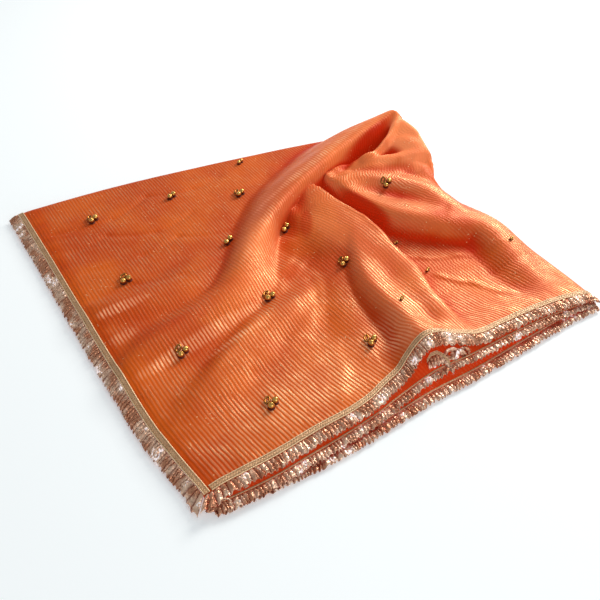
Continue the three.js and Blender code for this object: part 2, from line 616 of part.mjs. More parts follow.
addMargin('lower', LOWER_MARGIN, RUFFLES.lower);

// ---------------------------------------------------------------- hidden layers

// Plan of the hidden layers: the upper layer's, but for its front.
const HIDDEN_END_INSET = 3;
function hiddenPlan(a, b) {
  const [x, y] = planPoint(a, b);
  const startY = smooth(LONG_MARGIN, 'y', 'x', x);
  const shift = (smooth(HIDDEN_FRONT, 'y', 'x', x) - startY) * (1 - b);
  return new THREE.Vector3(x + HIDDEN_END_INSET * (1 - a), y + shift, 0);
}

// Their top follows the inside of the upper layer, but for the open mouth of the
// margin's wave, where it stays low.
const FIRST_ROW = 2;          // grid lines of the cloth that the top keeps clear of
const FIRST_COLUMN = 1;
const LAST_INSET = RIM_STEPS.length + 1;
function heapTop() {
  const rows = [...clothGrid.keys()].slice(FIRST_ROW, -LAST_INSET + 1);
  const columns = [...clothGrid[0].keys()].slice(FIRST_COLUMN, -LAST_INSET + 1);
  const under = offsetGrid(clothInside, clothNormals, -LAYER_GAP);
  const inner = rows.map((r) => columns.map((c) => {
    const p = under[r][c];
    const ceiling = MOUTH_FLOOR + Math.max(0, p.y - MOUTH_DEPTH) * MOUTH_SLOPE;
    return p.setZ(Math.min(p.z, ceiling));
  }));
  const a = [0, ...columns.map((c) => U_LINES[c]), 1];
  const b = [0, ...rows.map((r) => V_LINES[r]), 1];
  const onRim = (r, c) => r === 0 || c === 0 || r === b.length - 1 || c === a.length - 1;
  return b.map((v, r) => a.map((u, c) => (onRim(r, c) ? hiddenPlan(u, v) : inner[r - 1][c - 1])));
}

function hiddenGeometry() {
  const grid = heapTop();
  const rows = grid.length;
  const columns = grid[0].length;
  const at = (r, c) => r * columns + c;
  const rim = [];
  for (let c = 0; c < columns - 1; c += 1) rim.push([0, c]);
  for (let r = 0; r < rows - 1; r += 1) rim.push([r, columns - 1]);
  for (let c = columns - 1; c > 0; c -= 1) rim.push([rows - 1, c]);
  for (let r = rows - 1; r > 0; r -= 1) rim.push([r, 0]);

  const outline = rim.map(([r, c]) => grid[r][c]);
  const count = outline.length;
  const inwards = outline.map((_, i) => {
    const before = outline[(i - 1 + count) % count];
    const after = outline[(i + 1) % count];
    return new THREE.Vector3(before.y - after.y, after.x - before.x, 0).normalize();
  });
  const rings = LAYERED_EDGE.map(({ inset, z }) => outline.map((p, i) =>
    p.clone().addScaledVector(inwards[i], inset).setZ(z)));
  rings.pop().forEach((p, i) => {
    const [r, c] = rim[i];
    grid[r][c] = p;
  });

  const points = [...grid.flat(), ...rings.flat()];
  const faces = [];
  const quad = (a, b, c, d) => faces.push(a, b, c, a, c, d);
  for (let r = 0; r < rows - 1; r += 1) {
    for (let c = 0; c < columns - 1; c += 1) {
      quad(at(r, c), at(r, c + 1), at(r + 1, c + 1), at(r + 1, c));
    }
  }
  const ringStart = (k) => rows * columns + k * count;
  const index = (k, i) => (k < rings.length ? ringStart(k) + (i % count) : at(...rim[i % count]));
  for (let k = 0; k < rings.length; k += 1) {
    for (let i = 0; i < count; i += 1) {
      quad(index(k, i), index(k, i + 1), index(k + 1, i + 1), index(k + 1, i));
    }
  }
  const base = rings[0].map((p) => new THREE.Vector2(p.x, p.y));
  for (const [a, b, c] of THREE.ShapeUtils.triangulateShape(base, [])) {
    faces.push(ringStart(0) + a, ringStart(0) + c, ringStart(0) + b);
  }
  return geometryFrom(points, faces);
}
addMesh('hidden_layers', hiddenGeometry(), HIDDEN_FINISH);

// ---------------------------------------------------------------- bells

const wasm = await Module();
wasm.setup();

function solidOf(geometry) {
  const bare = geometry.clone();
  bare.deleteAttribute('normal');
  bare.deleteAttribute('uv');
  const merged = mergeVertices(bare, 1e-4);
  return new wasm.Manifold(new wasm.Mesh({
    numProp: 3,
    vertProperties: new Float32Array(merged.attributes.position.array),
    triVerts: new Uint32Array(merged.index.array),
  }));
}

function geometryOf(solid) {
  const { vertProperties, triVerts } = solid.getMesh();
  const geometry = new THREE.BufferGeometry();
  geometry.setAttribute('position', new THREE.BufferAttribute(new Float32Array(vertProperties), 3));
  geometry.setIndex([...triVerts]);
  geometry.computeVertexNormals();
  return geometry;
}

// The upper side of the cloth as triangles, to seat the bells on.
const clothFacets = [];
for (let r = 0; r < clothGrid.length - 1; r += 1) {
  for (let c = 0; c < clothGrid[0].length - 1; c += 1) {
    const [a, b, d, e] = [
      clothGrid[r][c], clothGrid[r][c + 1], clothGrid[r + 1][c + 1], clothGrid[r + 1][c],
    ];
    clothFacets.push(new THREE.Triangle(a, b, d), new THREE.Triangle(a, d, e));
  }
}

// The cloth right under a plan place, with the facets round it.
const NEAR_BELL = 45;
function clothUnder(x, y) {
  const down = new THREE.Ray(new THREE.Vector3(x, y, 1e3), new THREE.Vector3(0, 0, -1));
  const near = clothFacets.filter(({ a }) => Math.hypot(a.x - x, a.y - y) < NEAR_BELL);
  const hits = near.map((facet) => ({
    facet, point: down.intersectTriangle(facet.a, facet.b, facet.c, false, new THREE.Vector3()),
  })).filter(({ point }) => point);
  const { facet, point } = hits.reduce((top, one) => (one.point.z > top.point.z ? one : top));
  return { point, near, normal: facet.getNormal(new THREE.Vector3()) };
}

// Bells stand in a ring on the cloth, each lifted until it clears every facet.
function bellCluster({ x, y, bells, radius }) {
  const { point, near, normal } = clothUnder(x, y);
  const turn = new THREE.Quaternion().setFromUnitVectors(new THREE.Vector3(0, 0, 1), normal);
  const spread = (BELL_PITCH * radius) / 2 / Math.sin(Math.PI / bells);
  const clear = radius + LAYER_GAP;
  const closest = new THREE.Vector3();
  const gapAt = (seat) => Math.min(
    ...near.map((facet) => facet.closestPointToPoint(seat, closest).distanceTo(seat)),
  );
  let cluster = null;
  for (let i = 0; i < bells; i += 1) {
    const angle = THREE.MathUtils.degToRad(FIRST_BELL_TURN[bells]) + (i / bells) * 2 * Math.PI;
    const seat = new THREE.Vector3(spread * Math.cos(angle), spread * Math.sin(angle), clear)
      .applyQuaternion(turn).add(point);
    for (let gap = gapAt(seat); gap < clear - TOUCH; gap = gapAt(seat)) {
      seat.addScaledVector(normal, clear - gap);
    }
    const bell = new THREE.SphereGeometry(radius, BELL_SIDES, BELL_RINGS).rotateX(Math.PI / 2);
    const solid = solidOf(bell.translate(seat.x, seat.y, seat.z));
    cluster = cluster ? cluster.add(solid) : solid;
  }
  return geometryOf(cluster);
}
BELLS.forEach((cluster, i) => {
  const name = `bells_${String(i + 1).padStart(2, '0')}`;
  addMesh(name, bellCluster(cluster), BELL_FINISH);
});

// ---------------------------------------------------------------- placing

// The part's origin is the middle of its footprint, on the surface.
const box = new THREE.Box3().setFromObject(group);
const middle = box.getCenter(new THREE.Vector3());
group.position.set(-middle.x, -middle.y, -box.min.z);
group.updateMatrixWorld(true);

export default group;
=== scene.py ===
# %% [markdown]
# # A tissue silk sari, folded and laid down
#
# A tissue silk sari is a very light silk woven with metal-wrapped threads. This one lies
# folded in half along its length: three trimmed margins show one above the other at the
# front, a trimmed end at the left, and a soft fold at the back and on the right. Its free
# top layer has been pushed up into one long roll and a few smaller folds.
#
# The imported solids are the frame: they fix where everything is. Each cell below dresses one
# part of them, and every piece is made in the same place, in metres, with +Z up.

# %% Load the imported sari
import math

import bpy
import numpy as np
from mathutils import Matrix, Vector


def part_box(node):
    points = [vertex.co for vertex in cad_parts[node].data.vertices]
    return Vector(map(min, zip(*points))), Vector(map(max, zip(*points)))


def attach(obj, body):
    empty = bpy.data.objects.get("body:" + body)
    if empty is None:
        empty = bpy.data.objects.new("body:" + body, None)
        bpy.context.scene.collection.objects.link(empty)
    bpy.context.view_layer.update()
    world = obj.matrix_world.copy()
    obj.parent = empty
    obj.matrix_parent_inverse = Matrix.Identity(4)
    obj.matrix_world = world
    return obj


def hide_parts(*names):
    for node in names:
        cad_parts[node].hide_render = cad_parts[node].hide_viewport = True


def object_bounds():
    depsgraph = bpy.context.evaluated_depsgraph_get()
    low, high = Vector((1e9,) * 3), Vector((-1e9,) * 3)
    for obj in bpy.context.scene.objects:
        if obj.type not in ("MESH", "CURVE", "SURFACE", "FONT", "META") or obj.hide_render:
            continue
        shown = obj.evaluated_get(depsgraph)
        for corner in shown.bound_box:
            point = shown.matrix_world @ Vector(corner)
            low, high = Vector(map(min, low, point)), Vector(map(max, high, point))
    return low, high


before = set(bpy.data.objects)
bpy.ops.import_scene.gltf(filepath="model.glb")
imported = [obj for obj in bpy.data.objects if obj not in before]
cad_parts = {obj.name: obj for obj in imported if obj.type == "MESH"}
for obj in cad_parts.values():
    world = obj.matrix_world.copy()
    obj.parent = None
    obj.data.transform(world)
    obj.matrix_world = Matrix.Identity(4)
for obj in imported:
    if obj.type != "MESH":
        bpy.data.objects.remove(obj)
cad_low, cad_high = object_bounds()
print("solids:", len(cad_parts))
print("box, mm:", [round(1000 * (b - a), 1) for a, b in zip(cad_low, cad_high)])

# %% [markdown]
# ## One place for everything
#
# The cloth is worked out in millimetres from its own corner, as a maker measures it: x along
# the three margins, y from the margins to the back fold, z up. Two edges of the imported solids
# tell where that corner lies in the frame, so nothing has to be fitted by eye.

# %% From the cloth's own millimetres to the frame
MM = 0.001
MIDDLE_START_X = 12.0         # where the middle margin starts
BACK_CORNER_Y = 550.0         # where the trimmed end meets the back fold
corner = (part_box("middle_cloth")[0][0] / MM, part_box("upper_cloth")[1][1] / MM, cad_low[2] / MM)
SHIFT = np.array([corner[0] - MIDDLE_START_X, corner[1] - BACK_CORNER_Y, corner[2]])


def metres(points):
    """Points in the cloth's own millimetres, in the frame's metres."""
    return (np.asarray(points, float) + SHIFT) * MM


print("shift, mm:", SHIFT.round(2))

# %% [markdown]
# ## The edges of the upper layer
#
# Four curves hold the layer's plan: the front margin, the back fold, the trimmed end and the
# side fold. The front margin also has a height, because one wave of it stands open. Each is a
# short table that a smooth curve runs through.

# %% Edge tables
MARGIN = {
    "x": [7, 30, 87, 136, 178, 205, 225, 250, 264, 276, 290, 306, 322, 340, 362, 400, 460, 506, 530],
    "y": [13, 14, 13, 15.5, 15.5, 19, 25, 31, 36, 38.5, 39, 36, 31, 28, 25, 25, 21, 13, 8],
    "z": [12, 13.4, 14.5, 15.5, 16.5, 17, 17.5, 20, 28, 38, 45, 44, 37, 28, 21, 18, 17, 16, 12.5],
}
BACK = {"x": [-16, 129, 313, 430, 558], "y": [550, 541, 513, 492, 462]}
END = {
    "y": [13, 38, 64, 110, 178, 300, 420, 550],
    "x": [7, 3.5, -0.5, -6, -8.5, -11, -13, -16],
}
SIDE = {
    "y": [8, 88, 157, 225, 290, 330, 370, 420, 462],
    "x": [530, 533, 533, 528, 520, 530, 548, 562, 558],
}
MIDDLE = {
    "x": [12, 32, 70, 116, 155, 200, 231, 288, 339, 391, 437, 484, 526],
    "y": [2.5, 0, -2.5, -1, 0.5, 4, 9, 15, 11, 10.5, 9.5, 6, 3],
    "z": [6.2, 6.9, 7.6, 8, 8, 8.2, 8.8, 11, 12.4, 12, 11, 9.4, 6.8],
}
LOWER = {
    "x": [8, 70, 150, 219, 270, 330, 429, 482, 526],
    "y": [4.5, -1, -5, -2, 0, -1, 2, 3, 1],
    "z": [1.4, 1.8, 2, 2, 2.2, 2, 2, 2, 1.6],
}
HIDDEN_FRONT = {
    "x": [-4, 90, 155, 231, 288, 339, 437, 526],
    "y": [22, 19, 20, 30, 35, 30, 27, 20],
}


def through(table, key, by, at):
    """The table's column `key` as a smooth function of its column `by`."""
    t, y = np.array(table[by], float), np.array(table[key], float)
    slope = np.gradient(y) / np.gradient(t)
    q = np.clip(at, t[0], t[-1])
    i = np.clip(np.searchsorted(t, q, side="right") - 1, 0, len(t) - 2)
    h = t[i + 1] - t[i]
    s = (q - t[i]) / h
    return ((2 * s**3 - 3 * s**2 + 1) * y[i] + (s**3 - 2 * s**2 + s) * h * slope[i]
            + (3 * s**2 - 2 * s**3) * y[i + 1] + (s**3 - s**2) * h * slope[i + 1])


print("margin at 290 mm:", through(MARGIN, "z", "x", np.array([290.0])).round(1), "mm up")

# %% [markdown]
# ## The folds
#
# Each fold is a crest that runs over the cloth. A row of its table is one station on that
# crest: its place, how far it rises over the flat cloth, how wide its slope is on the left and
# on the right as one walks along it, and how far it leans over its left foot. A heap of
# simulated cloth would never fall the same way twice, so the folds are listed one by one.

# %% Fold tables
FOLDS = {                     # rows of x, y, rise, left slope, right slope, lean
    "long roll": [
        (524, 402, 64, 24, 60, 6), (490, 397, 61, 24, 72, 9), (453, 393, 56, 24, 78, 11),
        (414, 386, 50, 24, 74, 12), (384, 377, 46, 24, 68, 12), (350, 366, 42, 24, 62, 12),
        (310, 350, 37, 22, 56, 10), (273, 330, 33, 20, 48, 8), (241, 309, 28, 26, 42, 5),
        (208, 283, 23, 38, 38, 2), (178, 255, 18, 48, 38, 0), (147, 235, 15, 52, 36, 0),
        (114, 226, 13, 54, 34, 0), (81, 220, 11, 54, 32, 0), (42, 212, 9, 50, 30, 0),
        (13, 196, 6, 44, 28, 0), (-8, 181, 3, 38, 26, 0), (-25, 168, 1, 34, 26, 0)],
    "end swell": [
        (193, 306, 1, 50, 40, 0), (153, 300, 3, 50, 40, 0), (113, 291, 5, 50, 34, 0),
        (68, 291, 6, 44, 28, 0), (27, 296, 6, 40, 26, 0), (-1, 300, 3, 40, 26, 0),
        (-20, 302, 1, 40, 26, 0)],
    "front swell": [
        (280, 200, 1, 50, 26, 0), (248, 191, 3, 56, 26, 0), (203, 181, 7, 60, 26, 0),
        (156, 173, 8, 60, 26, 0), (123, 158, 8, 60, 26, 0), (87, 135, 7, 54, 26, 0),
        (54, 114, 5, 50, 26, 0), (30, 99, 3, 44, 26, 0), (11, 87, 1, 40, 26, 0)],
    "peak crease": [
        (524, 395, 62, 18, 24, 0), (500, 374, 54, 18, 20, 0), (478, 363, 48, 20, 18, 0),
        (453, 355, 42, 18, 16, 0), (435, 354, 38, 16, 16, 0)],
    "corner swell": [
        (525, 394, 62, 40, 66, 0), (523, 357, 60, 38, 76, 3), (521, 329, 53, 34, 76, 6),
        (522, 310, 44, 28, 66, 9), (518, 302, 36, 24, 50, 8), (509, 299, 29, 24, 40, 3)],
    "upper shelf": [
        (380, 367, 28, 14, 30, 0), (412, 366, 33, 16, 50, 0), (430, 359, 37, 18, 64, 0),
        (458, 345, 40, 20, 76, 0), (482, 330, 40, 22, 80, 0), (495, 312, 37, 26, 70, 0),
        (499, 290, 32, 30, 56, 0)],
    "shelf top": [
        (400, 337, 34, 56, 46, 0), (424, 311, 37, 66, 46, 0), (450, 288, 37, 70, 46, 0),
        (470, 257, 34, 60, 44, 0), (480, 216, 28, 46, 40, 0)],
    "side sweep": [
        (487, 53, 5, 34, 30, 0), (487, 90, 12, 40, 40, 0), (494, 136, 20, 40, 50, 0),
        (489, 171, 24, 40, 60, 4), (453, 200, 29, 34, 80, 8), (412, 233, 32, 28, 76, 10),
        (396, 262, 32, 24, 60, 10), (384, 295, 32, 20, 46, 10), (380, 321, 32, 18, 36, 8),
        (375, 355, 30, 16, 24, 4)],
    "margin wave": [
        (349, 341, 30, 16, 60, 2), (352, 307, 29, 14, 80, 5), (355, 285, 28, 14, 86, 7),
        (359, 262, 27, 16, 88, 9), (361, 241, 26, 18, 84, 10), (361, 223, 25, 20, 76, 10),
        (358, 201, 24, 20, 70, 10), (356, 182, 24, 22, 64, 10), (356, 163, 23, 22, 58, 10),
        (356, 146, 23, 22, 56, 10), (350, 126, 23, 22, 54, 10), (344, 105, 23, 22, 50, 10),
        (341, 88, 22, 24, 48, 9), (341, 73, 21, 24, 44, 7), (343, 58, 19, 24, 40, 5),
        (344, 45, 17, 22, 34, 3)],
    "margin shoulder": [
        (334, 246, 18, 48, 26, 0), (320, 208, 20, 56, 26, 0), (307, 178, 22, 60, 26, 0),
        (299, 149, 23, 60, 28, 0), (298, 120, 24, 58, 30, 0), (297, 94, 25, 50, 30, 0),
        (294, 69, 27, 42, 30, 0), (289, 49, 29, 36, 28, 0)],
    "pocket lip": [
        (301, 335, 15, 34, 22, 0), (301, 305, 13, 40, 24, 0), (301, 269, 10, 44, 28, 0),
        (300, 230, 7, 44, 30, 0)],
    "low swell": [
        (280, 279, 5, 25, 30, 0), (301, 211, 6, 25, 40, 0), (268, 149, 6, 30, 45, 0),
        (248, 78, 3, 30, 40, 0)],
}
print("folds:", len(FOLDS), "stations:", sum(len(rows) for rows in FOLDS.values()))

# %% [markdown]
# The crest itself is a smooth line through its stations. A Catmull-Rom curve passes through
# every station, which a Bezier drawn through the same points wouldn't do. A leaning crest is
# first stood upright, because the lean is added back to the cloth afterwards.

# %% Crest lines
CREST_STEPS = 8               # points of the line from one station to the next


def crest_line(rows):
    """The stations of one fold, stood upright and joined by a smooth line."""
    stations = np.array(rows, float)
    along = np.gradient(stations[:, :2], axis=0)
    along /= np.linalg.norm(along, axis=1, keepdims=True)
    to_left = np.stack([-along[:, 1], along[:, 0]], 1)
    stations[:, :2] -= to_left * stations[:, 5:6]
    p = np.vstack([2 * stations[0] - stations[1], stations, 2 * stations[-1] - stations[-2]])
    line = [0.5 * (2 * b + (c - a) * t + (2 * a - 5 * b + 4 * c - d) * t * t
                   + (3 * b - a - 3 * c + d) * t**3)
            for a, b, c, d in zip(p[:-3], p[1:-2], p[2:-1], p[3:])
            for t in np.arange(CREST_STEPS) / CREST_STEPS]
    return np.array([*line, stations[-1]])


CRESTS = {name: crest_line(rows) for name, rows in FOLDS.items()}
print("points on the long roll's crest:", len(CRESTS["long roll"]))

# %% [markdown]
# ## How one fold lifts the cloth
#
# Every point of the cloth looks for the nearest point of the crest. Its height falls off as a
# soft bell over the slope's width, and a leaning fold is made fuller, as a roll of cloth is.

# %% Rise and lean of one fold
FULL_LEAN = 8.0               # mm of lean at which a fold is as full as a roll


def fold_at(crest, x, y):
    """Height that a fold adds at each place, and how far the cloth leans there."""
    start = crest[:-1, :2]
    step = crest[1:, :2] - start
    length2 = (step**2).sum(1) + 1e-9
    p = np.stack([x.ravel(), y.ravel()], 1)
    best = np.full(len(p), np.inf)
    seg = np.zeros(len(p), int)
    share = np.zeros(len(p))
    for k in range(len(start)):
        t = np.clip(((p - start[k]) @ step[k]) / length2[k], 0, 1)
        d = ((p - start[k] - t[:, None] * step[k]) ** 2).sum(1)
        nearer = d < best
        best[nearer], seg[nearer], share[nearer] = d[nearer], k, t[nearer]
    row = crest[seg] * (1 - share)[:, None] + crest[seg + 1] * share[:, None]
    side = step[seg, 0] * (p[:, 1] - start[seg, 1]) - step[seg, 1] * (p[:, 0] - start[seg, 0])
    width = np.where(side > 0, row[:, 3], row[:, 4])
    reach = np.clip(np.sqrt(best) / width, 0, 1)
    overhang = np.clip(row[:, 5] / FULL_LEAN, 0, 1)
    fullness = 2 - np.where(side > 0, 1.4, 0.4) * overhang
    bell = (1 - reach**2) ** fullness
    to_left = np.stack([-step[seg, 1], step[seg, 0]], 1)
    to_left /= np.linalg.norm(to_left, axis=1, keepdims=True) + 1e-9
    lean = (row[:, 5] * bell**1.3)[:, None] * to_left
    return (row[:, 2] * bell).reshape(x.shape), lean.reshape(x.shape + (2,))


rise, _ = fold_at(CRESTS["long roll"], np.array([[384.0]]), np.array([[352.0]]))
print("the long roll lifts the cloth there by", rise.round(1), "mm")

# %% [markdown]
# ## Fine creases
#
# Thin silk never lies quite flat. Long shallow ripples run over the hidden layers' edges, a
# few sharp creases are left from folding, and the sewn edges pucker. All of them are small
# heights added to the surface, so that light, and not paint, draws them.

# %% Crease table
CREASES = [                   # rows of x0, y0, x1, y1, depth, width
    # over the edges of the layers below, on the flat left part
    (12, 470, 90, 462, -0.9, 5), (90, 462, 150, 488, -1.0, 5), (150, 488, 215, 470, -0.9, 5),
    (215, 470, 262, 480, -0.8, 6), (20, 420, 70, 430, -0.7, 5), (70, 430, 128, 404, -0.9, 5),
    (128, 404, 190, 418, -0.8, 5), (24, 372, 96, 366, -0.8, 6), (96, 366, 150, 378, -0.7, 5),
    (150, 378, 214, 352, -0.8, 5), (10, 318, 60, 322, -0.8, 6), (60, 322, 122, 300, -0.8, 6),
    (122, 300, 170, 306, -0.7, 5), (262, 430, 320, 440, -0.8, 7),
    # over the low swells of the middle
    (40, 128, 96, 150, 0.9, 9), (96, 150, 150, 178, 1.1, 10), (150, 178, 206, 214, 1.0, 9),
    (60, 92, 120, 112, -0.9, 9), (120, 112, 172, 142, -0.9, 9), (172, 142, 224, 172, -0.8, 9),
    (212, 236, 256, 262, 1.2, 7), (232, 222, 276, 244, -1.0, 7), (180, 40, 214, 100, 0.7, 8),
    (206, 128, 238, 176, -0.8, 7), (238, 176, 250, 210, -0.8, 6), (214, 60, 262, 74, -0.7, 8),
    # sharp folding creases on the right part
    (398, 168, 438, 150, 1.1, 4), (438, 150, 486, 128, 0.9, 5), (392, 132, 420, 96, 1.3, 4),
    (420, 96, 446, 60, 1.0, 5), (372, 196, 398, 168, 0.9, 4), (430, 190, 470, 214, -0.9, 6),
    (452, 98, 496, 96, -1.2, 7), (404, 214, 424, 182, -0.8, 5), (366, 236, 372, 196, -0.8, 4),
    # on the upper shelf and the corner
    (438, 356, 470, 330, 1.6, 7), (470, 330, 500, 318, 1.2, 7), (452, 336, 486, 306, -1.6, 8),
    (498, 386, 512, 352, -2.2, 9), (512, 352, 520, 318, -1.6, 8), (478, 372, 500, 344, 1.4, 8),
    (420, 340, 452, 318, -1.2, 8), (520, 384, 534, 340, 1.4, 8),
    # the deep pocket under the roll's head, with the crisp ridge in front of it
    (512, 390, 478, 379, -9, 7), (478, 379, 446, 371, -8, 8), (446, 371, 408, 361, -5, 6),
    (506, 376, 476, 362, 2, 5), (470, 359, 440, 350, 1.2, 5),
    # the valley behind the margin wave, and the wave's sharp ridge
    (373, 304, 381, 268, -5, 7), (381, 268, 398, 222, -6, 7),
    (355, 292, 359, 254, 2.0, 5), (359, 254, 361, 206, 2.2, 5),
    # on the back of the long roll
    (330, 420, 384, 424, -1.2, 9), (384, 424, 440, 440, -1.0, 9), (300, 392, 344, 402, 0.9, 9),
    (452, 440, 506, 428, 1.4, 12), (470, 466, 520, 446, -1.2, 12),
]
print("creases laid by hand:", len(CREASES))


def creases_at(x, y):
    """Sum of the listed creases, each a soft ridge or trough with tapered ends."""
    total = np.zeros_like(x)
    for x0, y0, x1, y1, depth, width in CREASES:
        dx, dy = x1 - x0, y1 - y0
        run = math.hypot(dx, dy)
        t = ((x - x0) * dx + (y - y0) * dy) / run**2
        bow = 0.06 * run * np.sin(np.pi * np.clip(t, 0, 1))
        off = ((x - x0) * dy - (y - y0) * dx) / run - bow
        past = np.clip(np.maximum(-t, t - 1), 0, None) * run
        total += depth * np.exp(-((off / width) ** 2)) * np.exp(-((past / (1.6 * width)) ** 2))
    return total


# %% Ripples and puckers
def ripples_at(x, y):
    """Long shallow ripples that have no repeat one can see."""
    wander = 9 * np.sin(x / 61 + 1.3) + 7 * np.sin(y / 47 - 0.4)
    across = np.sin((y + wander) / 17) * np.sin((x - 0.4 * wander) / 71 + 0.8)
    cross = np.sin((0.5 * x + y + wander) / 11 + 2) * np.sin((x - 0.7 * y) / 53)
    fine = np.sin((x + 0.3 * y) / 6.1 + np.sin(y / 23) * 2) * np.sin((y - 0.2 * x) / 31 + 1)
    return 0.42 * across + 0.22 * cross + 0.07 * fine


def puckers_at(distance, along):
    """Gathers along a sewn edge: they fade within a hand's width of the seam."""
    gathers = np.sin(along / 4.1 + 1.5 * np.sin(along / 19)) * (0.6 + 0.4 * np.sin(along / 33))
    return 0.35 * gathers * np.exp(-((distance - 9) / 11) ** 2)


print("ripple height at the centre, mm:", ripples_at(np.array([260.0]), np.array([270.0])).round(2))

# %% [markdown]
# ## The surface of the upper layer
#
# A Coons patch fills the four plan edges, so that u runs along the margins and v to the back
# fold. The folds' heights are joined with a high power mean: the tallest fold wins, and two
# that meet don't add up. At the back and side folds the cloth rounds over its own edge.

# %% Coons patch with folds
FLAT_Z = 14.0
STACK_CLEARANCE = 12.9        # no crease goes deeper than this, where the hidden layers lie
SHALLOW = 1.8                 # but this much is always allowed
RIM_Z, RIM_RADIUS = 8.0, 12.0
MARGIN_REACH = 45.0
END_DROP, END_REACH = 4.0, 20.0
LENGTH_X, LENGTH_Y = 523.0, 537.0


def plan_points(u, v):
    """Plan place of each (u, v) between the four edges."""
    (x0, y0), (x1, y1) = (MARGIN["x"][0], END["y"][0]), (MARGIN["x"][-1], SIDE["y"][0])
    (x2, y2), (x3, y3) = (BACK["x"][0], END["y"][-1]), (BACK["x"][-1], SIDE["y"][-1])
    fx, bx = x0 + u * (x1 - x0), x2 + u * (x3 - x2)
    ly, ry = y0 + v * (y2 - y0), y1 + v * (y3 - y1)
    front = np.stack([fx, through(MARGIN, "y", "x", fx)], -1)
    back = np.stack([bx, through(BACK, "y", "x", bx)], -1)
    left = np.stack([through(END, "x", "y", ly), ly], -1)
    right = np.stack([through(SIDE, "x", "y", ry), ry], -1)
    a, b = u[..., None], v[..., None]
    corners = ((1 - a) * (1 - b) * np.array([x0, y0]) + a * (1 - b) * np.array([x1, y1])
               + (1 - a) * b * np.array([x2, y2]) + a * b * np.array([x3, y3]))
    return (1 - b) * front + b * back + (1 - a) * left + a * right - corners


def cloth_points(u, v):
    """Points of the upper layer's top side, in its own millimetres."""
    plan = plan_points(u, v)
    x, y = plan[..., 0], plan[..., 1]
    folds = [fold_at(crest, x, y) for crest in CRESTS.values()]
    rise = sum(f[0] ** 6 for f in folds) ** (1 / 6)
    lean = sum(f[1] * (f[0] / (rise + 1e-6))[..., None] ** 4 for f in folds)
    near = np.clip(1 - (y - through(MARGIN, "y", "x", x)) / MARGIN_REACH, 0, 1)
    margin = near * near * (3 - 2 * near)
    z = (FLAT_Z + rise) * (1 - margin) + through(MARGIN, "z", "x", x) * margin
    from_end = u * (through(SIDE, "x", "y", y) - through(END, "x", "y", y))
    z -= END_DROP * np.clip(1 - from_end / END_REACH, 0, 1) ** 2 * (1 - margin)
    calm = np.clip(v * LENGTH_Y / 20, 0, 1) * np.clip(u * LENGTH_X / 16, 0, 1)
    room = np.minimum(STACK_CLEARANCE - z, -SHALLOW)
    z += np.maximum((creases_at(x, y) + ripples_at(x, y)) * calm, room)
    z += puckers_at(from_end, y) + puckers_at(v * LENGTH_Y, x) * (1 - margin * 0.4)
    for distance in ((1 - u) * LENGTH_X, (1 - v) * LENGTH_Y):
        rounding = np.clip(distance / RIM_RADIUS, 0, 1)
        z = RIM_Z + (z - RIM_Z) * np.sqrt(np.clip(1 - (1 - rounding) ** 2, 0, 1))
    return np.stack([x + lean[..., 0], y + lean[..., 1], z], -1)


print("peak, mm:", cloth_points(np.array([[0.93]]), np.array([[0.82]])).round(1))

# %% [markdown]
# ## From points to meshes
#
# Every sheet, tape and ruffle here is a grid of points with a second grid behind it, closed
# along its edges. A closed shell has an inside and an outside, so it casts a true shadow and
# prints as a solid. The UV map holds real distances, in metres, along and across the weave.

# %% Mesh helpers
def normals_of(grid):
    """Unit normals of a grid of points, up for rows along y and columns along x."""
    n = np.cross(np.gradient(grid, axis=1), np.gradient(grid, axis=0))
    return n / (np.linalg.norm(n, axis=-1, keepdims=True) + 1e-12)


def arc_lengths(grid, axis):
    """Distance along the surface from its first row or column."""
    step = np.linalg.norm(np.diff(grid, axis=axis), axis=-1)
    return np.insert(np.cumsum(step, axis=axis), 0, 0, axis=axis)


def new_piece(name, points, faces, *materials, uv=None, flat=0):
    """An object from points in the cloth's millimetres. Its last `flat` faces stay unsmoothed."""
    mesh = bpy.data.meshes.new(name)
    mesh.from_pydata(metres(points).tolist(), [], faces)
    smooth = len(faces) - flat
    mesh.polygons.foreach_set("use_smooth", [True] * smooth + [False] * flat)
    for material in materials:
        mesh.materials.append(material)
    if uv is not None:
        corners = np.zeros(len(mesh.loops), int)
        mesh.loops.foreach_get("vertex_index", corners)
        mesh.uv_layers.new(name="weave").data.foreach_set("uv", (uv[corners] * MM).ravel())
    mesh.update()
    piece = bpy.data.objects.new(name, mesh)
    bpy.context.scene.collection.objects.link(piece)
    return piece


def report(piece, stands_for=None):
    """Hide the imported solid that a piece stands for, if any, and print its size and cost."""
    if stands_for:
        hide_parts(stands_for)
    faces = sum(len(p.vertices) - 2 for p in piece.data.polygons)
    print(f"{piece.name}: {faces} triangles, {[round(d / MM) for d in piece.dimensions]} mm")
    return piece


